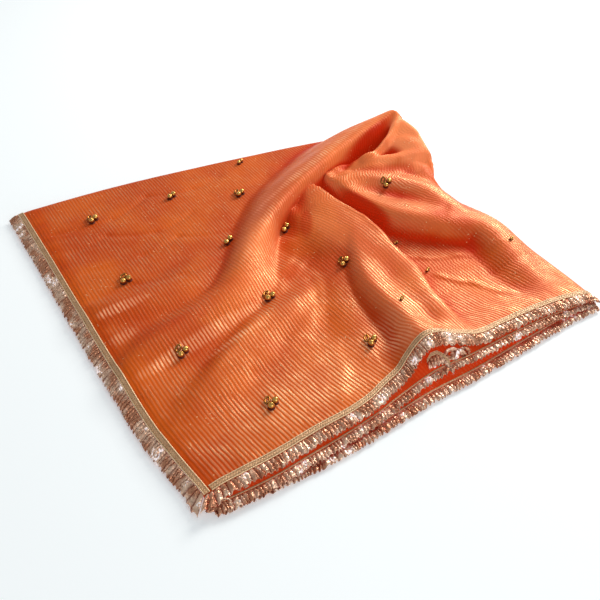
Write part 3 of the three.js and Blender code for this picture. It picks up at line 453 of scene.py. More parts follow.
# %% Shell builder
def shell(name, top, under, uv, material, stands_for=None, **painted):
    """A closed shell between two grids of points, with the weave's distances as its UV map.

    `painted` holds one number a grid point under each name, for the material to read."""
    rows, columns = top.shape[:2]
    index = np.arange(rows * columns).reshape(rows, columns)
    low = index + rows * columns
    walls = (
        (index[:-1, :-1], index[:-1, 1:], index[1:, 1:], index[1:, :-1]),
        (low[:-1, :-1], low[1:, :-1], low[1:, 1:], low[:-1, 1:]),
        (index[0, :-1], low[0, :-1], low[0, 1:], index[0, 1:]),
        (index[-1, 1:], low[-1, 1:], low[-1, :-1], index[-1, :-1]),
        (index[1:, 0], low[1:, 0], low[:-1, 0], index[:-1, 0]),
        (index[:-1, -1], low[:-1, -1], low[1:, -1], index[1:, -1]),
    )
    faces = np.concatenate([np.stack(wall, -1).reshape(-1, 4) for wall in walls]).tolist()
    points = np.concatenate([top.reshape(-1, 3), under.reshape(-1, 3)])
    piece = new_piece(name, points, faces, material, uv=np.tile(uv.reshape(-1, 2), (2, 1)))
    for key, numbers in painted.items():
        layer = piece.data.attributes.new(key, "FLOAT", "POINT")
        layer.data.foreach_set("value", np.tile(numbers.ravel(), 2))
    return report(piece, stands_for)


print("a shell is closed by 6 walls: top, under and four edges")

# %% [markdown]
# ## Helpers for materials
#
# A material is a small machine of nodes. A recipe places a node, gives its inputs a number, a
# colour or the output of another node, and hands on what comes out. Each material and node
# group below can then be read as a list of what it does.

# %% Node helpers
class Recipe:
    """Short ways to fill one node tree."""

    def __init__(self, tree):
        self.tree = tree

    def add(self, kind, **settings):
        made = self.tree.nodes.new(kind)
        for key, value in settings.items():
            setattr(made, key, value)
        return made

    def feed(self, socket, value):
        """Give a socket a number or a colour, or wire an output to it."""
        if isinstance(value, bpy.types.NodeSocket):
            self.tree.links.new(value, socket)
        else:
            socket.default_value = value

    def math(self, operation, first, *others, clamp=False):
        """The first value with the second, what comes out with the third, and so on."""
        for other in others or (0.0,):
            made = self.add("ShaderNodeMath", operation=operation, use_clamp=clamp)
            self.feed(made.inputs[0], first)
            self.feed(made.inputs[1], other)
            first = made.outputs[0]
        return first

    def times(self, *values, clamp=False):
        return self.math("MULTIPLY", *values, clamp=clamp)

    def plus(self, *values, clamp=False):
        return self.math("ADD", *values, clamp=clamp)

    def mix(self, share, a, b):
        """A mix of two colours, all `b` where the share is 1."""
        made = self.add("ShaderNodeMix", data_type="RGBA")
        for index, value in ((0, share), (6, a), (7, b)):
            self.feed(made.inputs[index], value)
        return made.outputs[2]

    def ramp(self, value, low, high):
        """0 below low, 1 above high, smooth between."""
        made = self.add("ShaderNodeMapRange", interpolation_type="SMOOTHSTEP")
        for key, number in (("Value", value), ("From Min", low), ("From Max", high)):
            self.feed(made.inputs[key], number)
        return made.outputs["Result"]

    def noise(self, vector, scale, detail=2.0, roughness=0.5, stretch=(1, 1, 1)):
        """A noise value, with the pattern squeezed along each axis by `stretch`."""
        mapping = self.add("ShaderNodeMapping")
        self.feed(mapping.inputs["Vector"], vector)
        self.feed(mapping.inputs["Scale"], stretch)
        made = self.add("ShaderNodeTexNoise")
        for key, value in (("Vector", mapping.outputs[0]), ("Scale", scale),
                           ("Detail", detail), ("Roughness", roughness)):
            self.feed(made.inputs[key], value)
        return made.outputs["Fac"]

    def split(self, vector):
        """The three parts of a vector."""
        made = self.add("ShaderNodeSeparateXYZ")
        self.feed(made.inputs[0], vector)
        return made.outputs

    def weave(self):
        """Distance along and across the weave, in metres."""
        return self.add("ShaderNodeUVMap", uv_map="weave").outputs[0]

    def painted(self, key):
        """A number painted on the mesh's points."""
        return self.add("ShaderNodeAttribute", attribute_name=key).outputs["Fac"]

    def group(self, group, **values):
        """A node group with its own values."""
        made = self.add("ShaderNodeGroup", node_tree=group)
        for key, value in values.items():
            made.inputs[key.replace("_", " ")].default_value = value
        return made.outputs

    def bump(self, surface, height, distance, strength):
        made = self.add("ShaderNodeBump")
        for key, value in (("Height", height), ("Distance", distance), ("Strength", strength)):
            self.feed(made.inputs[key], value)
        self.feed(surface["Normal"], made.outputs[0])


# %% Empty groups, empty materials, colours
def new_group(name, inputs, outputs):
    """A shader node group with named number inputs and outputs, and nothing in it yet."""
    group = bpy.data.node_groups.new(name, "ShaderNodeTree")
    for key, value in inputs.items():
        socket = group.interface.new_socket(key, in_out="INPUT", socket_type="NodeSocketFloat")
        socket.default_value = value
    for key in outputs:
        group.interface.new_socket(key, in_out="OUTPUT", socket_type="NodeSocketFloat")
    r = Recipe(group)
    return group, r, r.add("NodeGroupInput").outputs, r.add("NodeGroupOutput").inputs


def new_material(name, **uniform):
    """A material with one Principled shader. What is the same all over is given by name."""
    material = bpy.data.materials.new(name)
    material.use_nodes = True
    material.node_tree.nodes.clear()
    r = Recipe(material.node_tree)
    shader = r.add("ShaderNodeBsdfPrincipled")
    r.feed(r.add("ShaderNodeOutputMaterial").inputs[0], shader.outputs[0])
    for key, value in uniform.items():
        shader.inputs[key.replace("_", " ")].default_value = value
    return material, r, shader.inputs


def srgb(*steps):
    """A colour picked in 0 to 255 steps, as the linear light that the shader wants."""
    shares = [step / 255 for step in steps]
    return (*[c / 12.92 if c <= 0.04045 else ((c + 0.055) / 1.055) ** 2.4 for c in shares], 1.0)


print("orange ground, linear:", [round(c, 3) for c in srgb(228, 98, 20)])

# %% [markdown]
# ## A node group for the woven ribs
#
# The metal threads are woven in close ribs that run from margin to margin, about 4 mm apart.
# The upper layer, the two lower margins and the hidden layers all need them, so the pattern is
# built once as a group. It puts out masks and a height, never a shader, and each material
# decides what to do with them.

# %% Woven ribs group
def build_ribs():
    made, r, given, out = new_group(
        "woven ribs", {"Pitch": 0.00435, "Rib Share": 0.5, "Break Up": 0.5},
        ("Rib", "Height", "Painted Glint", "Patch"))
    weave = r.weave()
    drift = r.noise(weave, 18, 1, stretch=(1, 0.35, 1))
    wobble = r.noise(weave, 170, 1, stretch=(1, 0.4, 1))
    along = r.plus(r.split(weave)[0], r.plus(r.times(drift, 0.0026), r.times(wobble, 0.0016)))
    phase = r.math("FRACT", r.math("DIVIDE", along, given["Pitch"]))
    from_middle = r.math("ABSOLUTE", r.math("SUBTRACT", phase, 0.5))
    half_rib = r.times(given["Rib Share"], 0.5)
    rib = r.ramp(r.math("SUBTRACT", half_rib, from_middle), -0.15, 0.15)
    dashes = r.ramp(r.noise(weave, 240, 2, 0.6, (1, 0.22, 1)), 0.34, 0.6)
    grain = r.noise(weave, 900, 2, 0.6, (0.7, 1.5, 1))
    patch = r.ramp(r.noise(weave, 26, 4, 0.6, (1, 0.8, 1)), 0.36, 0.62)
    worn = r.times(patch, dashes, given["Break Up"])
    strength = r.plus(r.math("SUBTRACT", 1.0, given["Break Up"]), worn, clamp=True)
    mask = r.times(rib, strength, r.plus(r.times(grain, 1.1), 0.45), clamp=True)
    # Small dots for painted glints.
    dots = r.add("ShaderNodeTexVoronoi", feature="F1")
    r.feed(dots.inputs["Scale"], 230)
    r.feed(dots.inputs["Vector"], weave)
    dot = r.ramp(r.math("SUBTRACT", 0.20, dots.outputs["Distance"]), 0.0, 0.08)
    r.feed(out["Rib"], mask)
    r.feed(out["Height"], r.plus(r.times(mask, 0.8), r.times(grain, 0.35)))
    r.feed(out["Painted Glint"], r.times(dot, r.ramp(r.noise(weave, 60, 2), 0.56, 0.60)))
    r.feed(out["Patch"], patch)
    return made


RIBS = build_ribs()
print("group:", RIBS.name)

# %% [markdown]
# ## A node group for crinkled metal tissue
#
# The braid, the ruffles and even the bells have a surface broken up by tiny dents and threads.
# This group gives a fine uneven height and a slow change of tone at a size each material picks.

# %% Crinkle group
def build_crinkle():
    made, r, given, out = new_group(
        "crinkle", {"Size": 0.002, "Sharp": 0.5}, ("Height", "Tone", "Fleck", "Glint"))
    place = r.add("ShaderNodeTexCoord").outputs["Object"]
    scale = r.math("DIVIDE", 1.0, given["Size"])

    def texture(kind, finer, detail):
        pattern = r.add(kind)
        for key, value in (("Vector", place), ("Scale", r.times(scale, finer)), ("Detail", detail)):
            r.feed(pattern.inputs[key], value)
        return pattern.outputs[0]

    fine = texture("ShaderNodeTexNoise", 1.0, 3)
    slow = texture("ShaderNodeTexNoise", 0.16, 1)
    cells = texture("ShaderNodeTexVoronoi", 0.8, 0)
    r.feed(out["Height"], r.plus(fine, r.times(cells, given["Sharp"])))
    r.feed(out["Tone"], slow)
    r.feed(out["Fleck"], r.ramp(fine, 0.56, 0.68))
    r.feed(out["Glint"], r.times(r.ramp(slow, 0.64, 0.69), r.ramp(fine, 0.48, 0.55)))
    return made


CRINKLE = build_crinkle()
print("group:", CRINKLE.name)

# %% [markdown]
# ## Tissue silk
#
# The ground is a sheer orange silk with a deep red-orange depth to it, and the ribs are a pale
# peach metal. Where a slope faces the light the ribs flash; where it turns away only the orange
# ground is left. So the ribs get metal and gloss, and just a part of the colour, as much as a
# painted map of their highlight gives. Hollows are painted dark red as shade, and small pale dots
# are painted glints. Light that comes through the sheer cloth is a faint glow, warm on the slopes
# and red in hollows.

# %% Silk material
# PEACH tints the sheen and the gloss; the second colour is painted on small dots as glints.
PEACH, PAINTED_GLINT = srgb(255, 160, 100), srgb(255, 205, 150)
NO_LIGHT = (0, 0, 0, 1)
THROUGH_LIGHT = (0.42, 0.17, 0.076, 1)
INSIDE_LIGHT = (0.20, 0.024, 0.004, 1)
# Painted shade: the dark red that hollows are painted with, and a faint red glow for them.
SHADE_RED, HOLLOW_LIGHT = srgb(190, 26, 2), (0.11, 0.008, 0.001, 1)
RIB_LIGHT = (0.40, 0.25, 0.15, 1)


def silk(name, ground, rib, deep, painted=True, break_up=0.55):
    """Orange tissue silk with metal ribs. `painted` cloth has maps of painted shade, glow and
    highlight.
    """
    material, r, surface = new_material(
        name, Emission_Strength=1.0, Sheen_Weight=0.07, Sheen_Roughness=0.4, Sheen_Tint=PEACH,
        Specular_IOR_Level=0.4, Specular_Tint=PEACH)
    ribs = r.group(RIBS, Break_Up=break_up)
    cloud = r.noise(r.add("ShaderNodeTexCoord").outputs["Object"], 11, 4, 0.6)
    base = r.mix(r.ramp(cloud, 0.30, 0.68), ground, deep)
    shown, glow = ribs["Rib"], INSIDE_LIGHT
    if painted:
        # Painted shade: hollows are painted dark red.
        base = r.mix(r.painted("hollow"), base, SHADE_RED)
        # The map of ribs shown holds both where the cloth has ribs at all and where they get a
        # painted highlight.
        shown = r.times(shown, r.painted("ribs_shown"))
        glow = r.mix(r.painted("glow"), NO_LIGHT, THROUGH_LIGHT)
        glow = r.mix(r.painted("hollow"), glow, HOLLOW_LIGHT)
        glow = r.mix(r.times(ribs["Rib"], r.painted("rib_light")), glow, RIB_LIGHT)
    r.feed(surface["Emission Color"], glow)
    ribbed = r.mix(r.times(shown, 0.95), base, rib)
    # Small dots are painted pale as glints.
    r.feed(surface["Base Color"], r.mix(r.times(ribs["Painted Glint"], 0.7), ribbed, PAINTED_GLINT))
    r.feed(surface["Metallic"], r.plus(r.times(shown, 0.55), 0.05))
    rough = r.plus(r.times(ribs["Patch"], -0.08), 0.54)
    r.feed(surface["Roughness"], r.plus(rough, r.times(shown, -0.16)))
    r.bump(surface, ribs["Height"], 0.0005, 0.8)
    return material


SILK = silk("tissue silk", srgb(228, 98, 20), srgb(255, 196, 144), srgb(206, 70, 8))
# Painted shade: the layers below get a darker, redder copy of the silk, with its ribs broken up
# more, as they look in shade. It also glows faintly red.
SHADED_INNER_SILK = silk("tissue silk, inner layers in shade", srgb(232, 62, 20), srgb(236, 104, 56),
                   srgb(206, 34, 8), painted=False, break_up=0.95)
print("materials:", SILK.name, "/", SHADED_INNER_SILK.name)

# %% [markdown]
# ## Braid, ruffle, bells and thread
#
# The braid is a woven tape of pale metal thread, quite matt. The ruffle is metal tissue, so it
# is the shiniest cloth here, rose gold, painted red-brown as shade in the gaps of its pleats.
# The bells are gold, painted bright on top and brown below as light and shade. All of them start
# from the same crinkled surface, with dents of their own size.

# %% Crinkled surfaces
def crinkled(name, size, sharp, dents, strength, uneven=None, **uniform):
    """A material with dents of one size. `uneven` is how its roughness follows the tone."""
    material, r, surface = new_material(name, **uniform)
    crinkle = r.group(CRINKLE, Size=size, Sharp=sharp)
    r.bump(surface, crinkle["Height"], dents, strength)
    if uneven:
        span, low = uneven
        r.feed(surface["Roughness"], r.plus(r.times(crinkle["Tone"], span), low))
    return material, r, surface, crinkle


def thread(name, size, dents, dark, pale, roughness):
    """Matt thread, darker and paler along its length."""
    material, r, surface, crinkle = crinkled(name, size, 0.6, dents, 0.6, Roughness=roughness)
    r.feed(surface["Base Color"], r.mix(crinkle["Tone"], dark, pale))
    return material


THREAD = thread("sewing thread", 0.0005, 0.0001, srgb(176, 120, 74), srgb(226, 178, 128), 0.6)
# A dark disc of thread under each bell stands for its contact shadow.
SHADOW_DISC = thread("painted shadow disc", 0.0008, 0.0002, srgb(70, 14, 4), srgb(130, 44, 14), 0.8)
print("threads:", THREAD.name, "/", SHADOW_DISC.name)

# %% Trim materials
BRAID_WIDTH = 6.8


def braid_material():
    """Pale gold tape: bright cords, a browner plaited middle, thin dark lines between them."""
    material, r, surface, crinkle = crinkled(
        "gold braid", 0.0013, 0.8, 0.0005, 0.8, uneven=(0.2, 0.3), Metallic=0.25)
    across = r.math("DIVIDE", r.split(r.weave())[1], BRAID_WIDTH * MM)
    off_middle = r.math("ABSOLUTE", r.math("SUBTRACT", across, 0.5))
    off_groove = r.math("ABSOLUTE", r.math("SUBTRACT", off_middle, 0.27))
    groove = r.math("SUBTRACT", 1.0, r.ramp(off_groove, 0.02, 0.07))
    middle = r.mix(crinkle["Tone"], srgb(204, 148, 102), srgb(246, 202, 154))
    colour = r.mix(r.ramp(off_middle, 0.30, 0.36), middle, srgb(255, 218, 170))
    colour = r.mix(r.times(groove, 0.7), colour, srgb(120, 74, 42))
    colour = r.mix(r.times(crinkle["Fleck"], 0.45), colour, srgb(122, 82, 50))
    r.feed(surface["Base Color"], colour)
    return material


def ruffle_material():
    """Rose gold tissue with painted shade, red-brown in the pleats' gaps, and painted glints nearly
    white.
    """
    material, r, surface, crinkle = crinkled(
        "rose gold tissue", 0.0026, 1.6, 0.0009, 0.8, uneven=(0.3, 0.12), Metallic=0.62,
        Emission_Strength=1.0)
    colour = r.mix(r.ramp(crinkle["Tone"], 0.38, 0.62), srgb(216, 148, 112), srgb(255, 214, 184))
    colour = r.mix(r.times(crinkle["Fleck"], 0.5), colour, srgb(120, 70, 42))
    colour = r.mix(r.painted("gap"), colour, srgb(140, 38, 12))
    r.feed(surface["Base Color"], r.mix(crinkle["Glint"], colour, srgb(255, 240, 238)))
    r.feed(surface["Emission Color"], r.mix(crinkle["Glint"], NO_LIGHT, (0.42, 0.38, 0.38, 1)))
    return material


def bell_material(name, low, high):
    """Gold, painted bright where the bell faces up and brown where it turns down, as light and
    shade.
    """
    material, r, surface, crinkle = crinkled(
        name, 0.0022, 0.3, 0.0002, 0.5, uneven=(0.2, 0.12), Metallic=0.85)
    # Painted light and shade: the colour runs from brown on faces turned down to bright gold on
    # faces turned up.
    upwards = r.split(r.add("ShaderNodeNewGeometry").outputs["Normal"])[2]
    colour = r.mix(r.ramp(upwards, -0.45, 0.75), low, high)
    r.feed(surface["Base Color"], r.mix(r.times(crinkle["Fleck"], 0.4), colour, srgb(86, 42, 10)))
    return material


BRAID = braid_material()
RUFFLE = ruffle_material()
BELL = bell_material("gold with painted shade", srgb(96, 40, 8), srgb(238, 184, 96))
# A darker copy, painted as in shade, for the leaf loops that lie behind the bells.
SHADED_GOLD = bell_material("shaded gold", srgb(70, 30, 6), srgb(176, 116, 48))
print("trim materials:", BRAID.name, "/", RUFFLE.name, "/", BELL.name, "/", SHADED_GOLD.name)

# %% [markdown]
# ## The upper layer
#
# The largest piece: one sheet from the front margin to the back fold. Its grid is closer where
# the folds are, so the tight creases keep their shape without a heavy mesh elsewhere. The
# ribs follow distances measured over the surface, so they stay evenly spaced on every slope.

# %% Grid of the upper cloth
SHELL_WALL = 0.5              # mm, as thin as a shell can be and still close cleanly
U_DENSITY = ([0, 0.03, 0.4, 0.6, 0.97, 1], [1.6, 1, 1, 1.6, 1.6, 3])
V_DENSITY = ([0, 0.05, 0.4, 0.6, 0.8, 0.97, 1], [1.6, 1.2, 1, 1.9, 1.9, 1, 3])
CLOTH_COLUMNS, CLOTH_ROWS = 222, 212


def spaced(count, table):
    """Shares from 0 to 1 that lie closer where the table's density is higher."""
    at = np.linspace(0, 1, 400)
    passed = np.concatenate([[0], np.cumsum(np.interp(at[1:], *table))])
    return np.interp(np.linspace(0, passed[-1], count), passed, at)


u_grid, v_grid = np.meshgrid(spaced(CLOTH_COLUMNS, U_DENSITY), spaced(CLOTH_ROWS, V_DENSITY))
cloth_top = cloth_points(u_grid, v_grid)
cloth_normals = normals_of(cloth_top)
cloth_uv = np.stack([arc_lengths(cloth_top, 1), arc_lengths(cloth_top, 0)], -1)
print("cloth over its folds, mm:", cloth_uv.max((0, 1)).round())

# %% [markdown]
# ## Where the cloth glows, darkens and flashes
#
# Sheer cloth looks different on every slope: light comes through a raised fold, a hollow fills
# with red shade, and ribs flash in narrow bands across the weave. No one material can know where
# it is on the sari, so numbers are worked out at every point and painted on the mesh. Most follow
# from height, slope and depth; soft patches, listed one by one, add what the folds alone don't give.

# %% Tools for soft maps
def smooth_step(value, low, high):
    """0 below low, 1 above high, smooth between."""
    t = np.clip((value - low) / (high - low), 0, 1)
    return t * t * (3 - 2 * t)


def blurred(values, reach):
    """Values of a grid, each the mean of its neighbours within `reach` steps, done twice."""
    width = 2 * reach + 1
    for axis in (0, 1, 0, 1):
        pad = [(0, 0), (0, 0)]
        pad[axis] = (reach, reach)
        total = np.cumsum(np.insert(np.pad(values, pad, mode="edge"), 0, 0, axis=axis), axis=axis)
        high = np.take(total, range(width, total.shape[axis]), axis=axis)
        low = np.take(total, range(total.shape[axis] - width), axis=axis)
        values = (high - low) / width
    return values


def patches(places):
    """A soft mask that reaches each patch's strength in its middle."""
    mask = np.zeros(cloth_top.shape[:2])
    for x, y, long, wide, degrees, strength in places:
        c, s = math.cos(math.radians(degrees)), math.sin(math.radians(degrees))
        dx, dy = cloth_top[..., 0] - x, cloth_top[..., 1] - y
        far = np.hypot((dx * c + dy * s) / long, (dy * c - dx * s) / wide)
        mask = np.maximum(mask, strength * (1 - smooth_step(far, 0.55, 1.25)))
    return mask


# %% Painted shade in hollows, and glow
# Each patch: x, y, half length, half width, degrees from x, strength.
# Patches where the silk is painted dark red as shade.
SHADE_PATCHES = [
    (380, 270, 56, 9, 100, 0.95), (462, 205, 52, 20, 100, 0.30), (455, 377, 66, 11, 17, 1.0),
    (300, 296, 26, 9, 60, 0.5), (246, 214, 40, 12, 55, 0.25), (120, 232, 60, 16, 15, 0.2),
]
GLOW_PATCHES = [
    (506, 345, 50, 26, 80, 1.9), (470, 340, 30, 16, 20, 0.9), (231, 293, 40, 20, 35, 0.45),
    (320, 250, 60, 14, 100, 0.3), (530, 322, 34, 12, 80, 1.3),
]
TO_KEY = np.array([0.82, 0.27, 0.50])   # the way to the key light
FULL_DEPTH = 5.5                        # mm under its surroundings where a hollow is darkest

height = cloth_top[..., 2]
facing_key = (cloth_normals * TO_KEY).sum(-1)
# Painted shade: places lower than their surroundings, on slopes turned from the key light, are
# painted dark red, more so towards the right.
depth = blurred(height, 9) - height
hollow = np.clip(depth / FULL_DEPTH, 0, 1) * np.clip(1.35 - 1.2 * facing_key, 0, 1)
hollow *= 0.35 + 0.65 * smooth_step(cloth_top[..., 0], 280, 400)
hollow = np.clip(np.maximum(hollow, patches(SHADE_PATCHES)), 0, 1)
glow = 0.65 * smooth_step(height, 17, 42) + 0.5 * smooth_step(height, 46, 74)
glow = np.clip(glow * np.clip(1.25 - facing_key, 0.2, 1), 0, 1.2)
glow = 0.5 * (glow + patches(GLOW_PATCHES)) * (1 - 0.85 * hollow)
print("mean hollow:", hollow.mean().round(2), "mean glow:", glow.mean().round(2))

# %% Ribs and bands of light
# In these patches the ribs and their painted highlight fade out.
SMOOTH_PATCHES = [            # here the ribs fade, and the plain ground shows
    (500, 352, 34, 26, 70, 1), (500, 300, 58, 17, 95, 1), (506, 232, 40, 14, 85, 1),
    (332, 206, 62, 11, 100, 1), (309, 318, 22, 12, 20, 1), (238, 238, 20, 12, 30, 1),
    (30, 470, 22, 40, 85, 0.7), (442, 196, 26, 12, 20, 1), (50, 222, 46, 10, 4, 0.9),
]
LIGHT_PATCHES = [
    (34, 286, 36, 8, 0, 0.8), (18, 242, 20, 9, 10, 0.6), (90, 189, 84, 9, 10, 1.0),
    (124, 166, 44, 5, 8, 0.6), (370, 381, 120, 7, 17, 0.7), (230, 300, 60, 7, 38, 0.5),
    (200, 70, 150, 34, 4, 0.35), (420, 60, 90, 30, 0, 0.12), (440, 300, 50, 12, 120, 0.4),
]
plain_width = 7 + 20 * v_grid**2        # mm of cloth without ribs along the trimmed end
from_end = np.clip((cloth_uv[..., 0] - plain_width) / 9, 0, 1)
from_back = np.clip(((1 - v_grid) * LENGTH_Y - 6) / 6, 0, 1)
# Painted highlight: the ribs show more on slopes that face the key light, and towards the front and
# right. Near the trimmed end and the back fold the cloth has no ribs.
front_sheen = 0.50 + 0.78 * smooth_step(u_grid * 0.75 - v_grid * 0.8, -0.35, 0.20)
ribs_shown = from_end * from_back * (0.12 + 0.88 * smooth_step(facing_key, 0.30, 0.70)) * front_sheen
ribs_shown *= (1 - 0.9 * hollow) * (1 - 0.85 * patches(SMOOTH_PATCHES))
rib_light = patches(LIGHT_PATCHES) * from_end * from_back
ribs_shown = np.clip(ribs_shown * (1 + 0.6 * rib_light) + 0.25 * rib_light, 0, 1.2)
print("mean share of rib shown:", ribs_shown.mean().round(2))

# %% Upper cloth
upper = shell("upper_silk", cloth_top, cloth_top - cloth_normals * SHELL_WALL, cloth_uv, SILK,
              "upper_cloth", hollow=hollow, ribs_shown=ribs_shown, glow=glow, rib_light=rib_light)

# %% [markdown]
# ## The two margins below
#
# Of the middle and lower layers only a strip shows, between one ruffle and the next. Each strip
# runs back under the layer above and has its own ripples, so the three edges don't look copied.

# %% Strips of the lower layers
STRIP_WALL = 0.6
OVER_HIDDEN = 0.6             # mm that a strip runs in over the hidden layers' front


def strip(name, table, phase, stands_for):
    """The front strip of a lower layer, from its margin back to the hidden layers."""
    x = np.linspace(table["x"][0], table["x"][-1], 360)
    front = through(table, "y", "x", x)
    back = through(HIDDEN_FRONT, "y", "x", x) + OVER_HIDDEN
    share = np.linspace(0, 1, 14)[:, None]
    y = front + (back - front) * share
    ripple = 0.35 * np.sin(x / 7.3 + phase + 1.2 * np.sin(x / 31)) * np.sin(np.pi * share)
    top = np.stack([x + 0 * y, y, through(table, "z", "x", x) + ripple], -1)
    return shell(name, top, top - (0, 0, STRIP_WALL), top[..., :2], SHADED_INNER_SILK, stands_for)


middle = strip("middle_silk", MIDDLE, 0.4, "middle_cloth")
lower = strip("lower_silk", LOWER, 2.1, "lower_cloth")

# %% [markdown]
# ## The hidden layers
#
# Under the upper layer lies the rest of the sari. Only its edges show, at the back and on the
# right: soft rounded folds, one on another, none quite straight. They are drawn as a stack of
# rolled lips whose line wanders a little.

# %% Folded stack
LIPS, LIP_STEPS = 3, 7        # rolled lips, one on another, and rings in each
LIPS_TOP = 7.2
TOP_RINGS = ((7, 7.4), (26, 11.2), (60, 11.8))   # mm in from the outline, mm up


def stack_outline(count, inset=0.0):
    """Plan outline of the stack, `inset` mm in on all sides, and the way in from each point."""
    side = np.linspace(0, 1, count, endpoint=False)
    zero, one = np.zeros(count), np.ones(count)
    u = np.concatenate([side, one, 1 - side, zero])
    v = np.concatenate([zero, side, one, 1 - side])
    u = np.clip(u, inset / LENGTH_X, 1 - inset / LENGTH_X)
    v = np.clip(v, inset / LENGTH_Y, 1 - inset / LENGTH_Y)
    plan = plan_points(u, v)
    front = through(HIDDEN_FRONT, "y", "x", plan[:, 0]) - through(MARGIN, "y", "x", plan[:, 0])
    plan[:, 1] += front * (1 - v)
    plan[:, 0] += 3 * (1 - u)
    along = np.roll(plan, -1, axis=0) - np.roll(plan, 1, axis=0)
    inwards = np.stack([-along[:, 1], along[:, 0]], 1)
    inwards /= np.linalg.norm(inwards, axis=1, keepdims=True)
    return plan, inwards


def ring_faces(rings, count):
    """Faces of closed rings of points, one on another. The two lids come last."""
    index = np.arange(rings * count).reshape(rings, count)
    after = np.roll(index, -1, axis=1)
    walls = np.stack([index[:-1], after[:-1], after[1:], index[1:]], -1).reshape(-1, 4)
    return walls.tolist() + [index[0][::-1].tolist(), index[-1].tolist()]


def folded_stack():
    outline, inwards = stack_outline(150)
    count = len(outline)
    turn = np.arange(count) / count * 2 * np.pi
    rings = []
    for lip in range(LIPS):
        wander = 0.5 * np.sin(turn * (9 + 2 * lip) + lip) + 0.35 * np.sin(turn * 23 + 2 * lip)
        for step in range(LIP_STEPS):
            angle = np.pi * (step + 0.5) / LIP_STEPS
            inset = 3.0 - 1.3 * math.sin(angle) + wander
            z = (lip + 0.5 - 0.5 * math.cos(angle)) * LIPS_TOP / LIPS
            ring = outline + inwards * inset[:, None]
            rings.append(np.column_stack([ring, np.full(count, z)]))
    rings[0][:, 2] = 0
    for inset, z in TOP_RINGS:
        ring, _ = stack_outline(count // 4, inset)
        rings.append(np.column_stack([ring, np.full(count, z)]))
    points, faces = np.concatenate(rings), ring_faces(len(rings), count)
    return new_piece("folded_stack", points, faces, SHADED_INNER_SILK, uv=points[:, :2], flat=2)


stack = report(folded_stack(), "hidden_layers")

# %% [markdown]
# ## Seams as lines to build along
#
# The braids and ruffles all follow a seam. A seam here is a line of points on the cloth's edge,
# with the way out from the cloth and the way up at every point. At the front corner the way
# out turns to the diagonal, so the two ruffles meet edge to edge as mitred trims do.

# %% Line helpers
SEAM_STEP = 0.42              # mm between the points of a seam
MITRE_REACH = 14.0            # mm from the corner where a seam starts to turn out
DIAGONAL = np.array([-1, -1, 0]) / math.sqrt(2)


def unit(vectors):
    return vectors / (np.linalg.norm(vectors, axis=-1, keepdims=True) + 1e-12)


def line_length(points):
    return np.insert(np.cumsum(np.linalg.norm(np.diff(points, axis=0), axis=1)), 0, 0)


def resampled(points, count):
    """The same line as `count` points at an even step, and how far along each lies."""
    length = line_length(points)
    at = np.linspace(0, length[-1], count)
    return np.stack([np.interp(at, length, points[:, k]) for k in range(3)], 1), at


def margin_points(table, x, inside=0.0):
    """Points of a lower layer, `inside` mm behind its margin."""
    y = through(table, "y", "x", x) + inside
    return np.stack([x, y, through(table, "z", "x", x)], -1)


# %% Seam lines
def seam(points, inner, mitre=False):
    """A seam through points. `inner` runs beside it, on the cloth's side."""
    count = int(line_length(points)[-1] / SEAM_STEP)
    line, at = resampled(points, count)
    out = unit((line - resampled(inner, count)[0]) * (1, 1, 0))
    if mitre:
        turn = np.clip(1 - at / MITRE_REACH, 0, 1)[:, None]
        out = unit(out * (1 - turn) + DIAGONAL * turn) * (1 + 0.35 * turn)
    along = unit(np.gradient(line, axis=0))
    up = np.cross(along, out)
    up = unit(np.where(up[:, 2:3] < 0, -up, up))
    return {"line": line, "out": out, "up": up, "along": along, "at": at}


def margin_seam(table):
    x = np.linspace(table["x"][0], table["x"][-1], 400)
    return seam(margin_points(table, x), margin_points(table, x, 10))


edge = np.linspace(0.0022, 1, 900)
zero = np.zeros_like(edge)
SEAMS = {
    "end": seam(cloth_points(zero, edge), cloth_points(zero + 0.01, edge), mitre=True),
    "upper": seam(cloth_points(edge, zero), cloth_points(edge, zero + 0.01), mitre=True),
    "middle": margin_seam(MIDDLE),
    "lower": margin_seam(LOWER),
}
for name, line in SEAMS.items():
    print(f"{name} seam: {line['at'][-1]:.0f} mm")

# %% [markdown]
# ## Gathered ruffles
#
# A ruffle is a strip of metal tissue, much longer than its seam, gathered as it is sewn. Near
# the seam its pleats are tight and low. Towards the free edge they open into loops that lean
# over each other. Simulated cloth would need a very fine mesh to do that at 5 mm a pleat, so
# each pleat is drawn: a wave up and down, and a second one along the seam, twice as fast, that
# folds the wave over itself. A fixed seed makes every pleat different and every run the same.

# %% Ruffle builder
RUFFLE_WALL, RUFFLE_ROWS = 0.28, 11
PLEAT = 4.7                   # mm of seam for one pleat
KINK, KINK_STEP = 0.32, 1.5   # mm, size and spacing of the small kinks in a pleat
SEAM_GAP = 0.3                # mm from the seam out to the ruffle
BELLY, CURL = 1.0, 0.8        # mm of arch in the middle, and of curl along the free edge
LOWEST = 0.35                 # mm over the ground that a ruffle keeps


def soft_floor(z, lowest):
    """z, but eased so that nothing goes under `lowest`."""
    over = z - lowest
    return lowest + 0.5 * (over + np.sqrt(over**2 + 0.6))


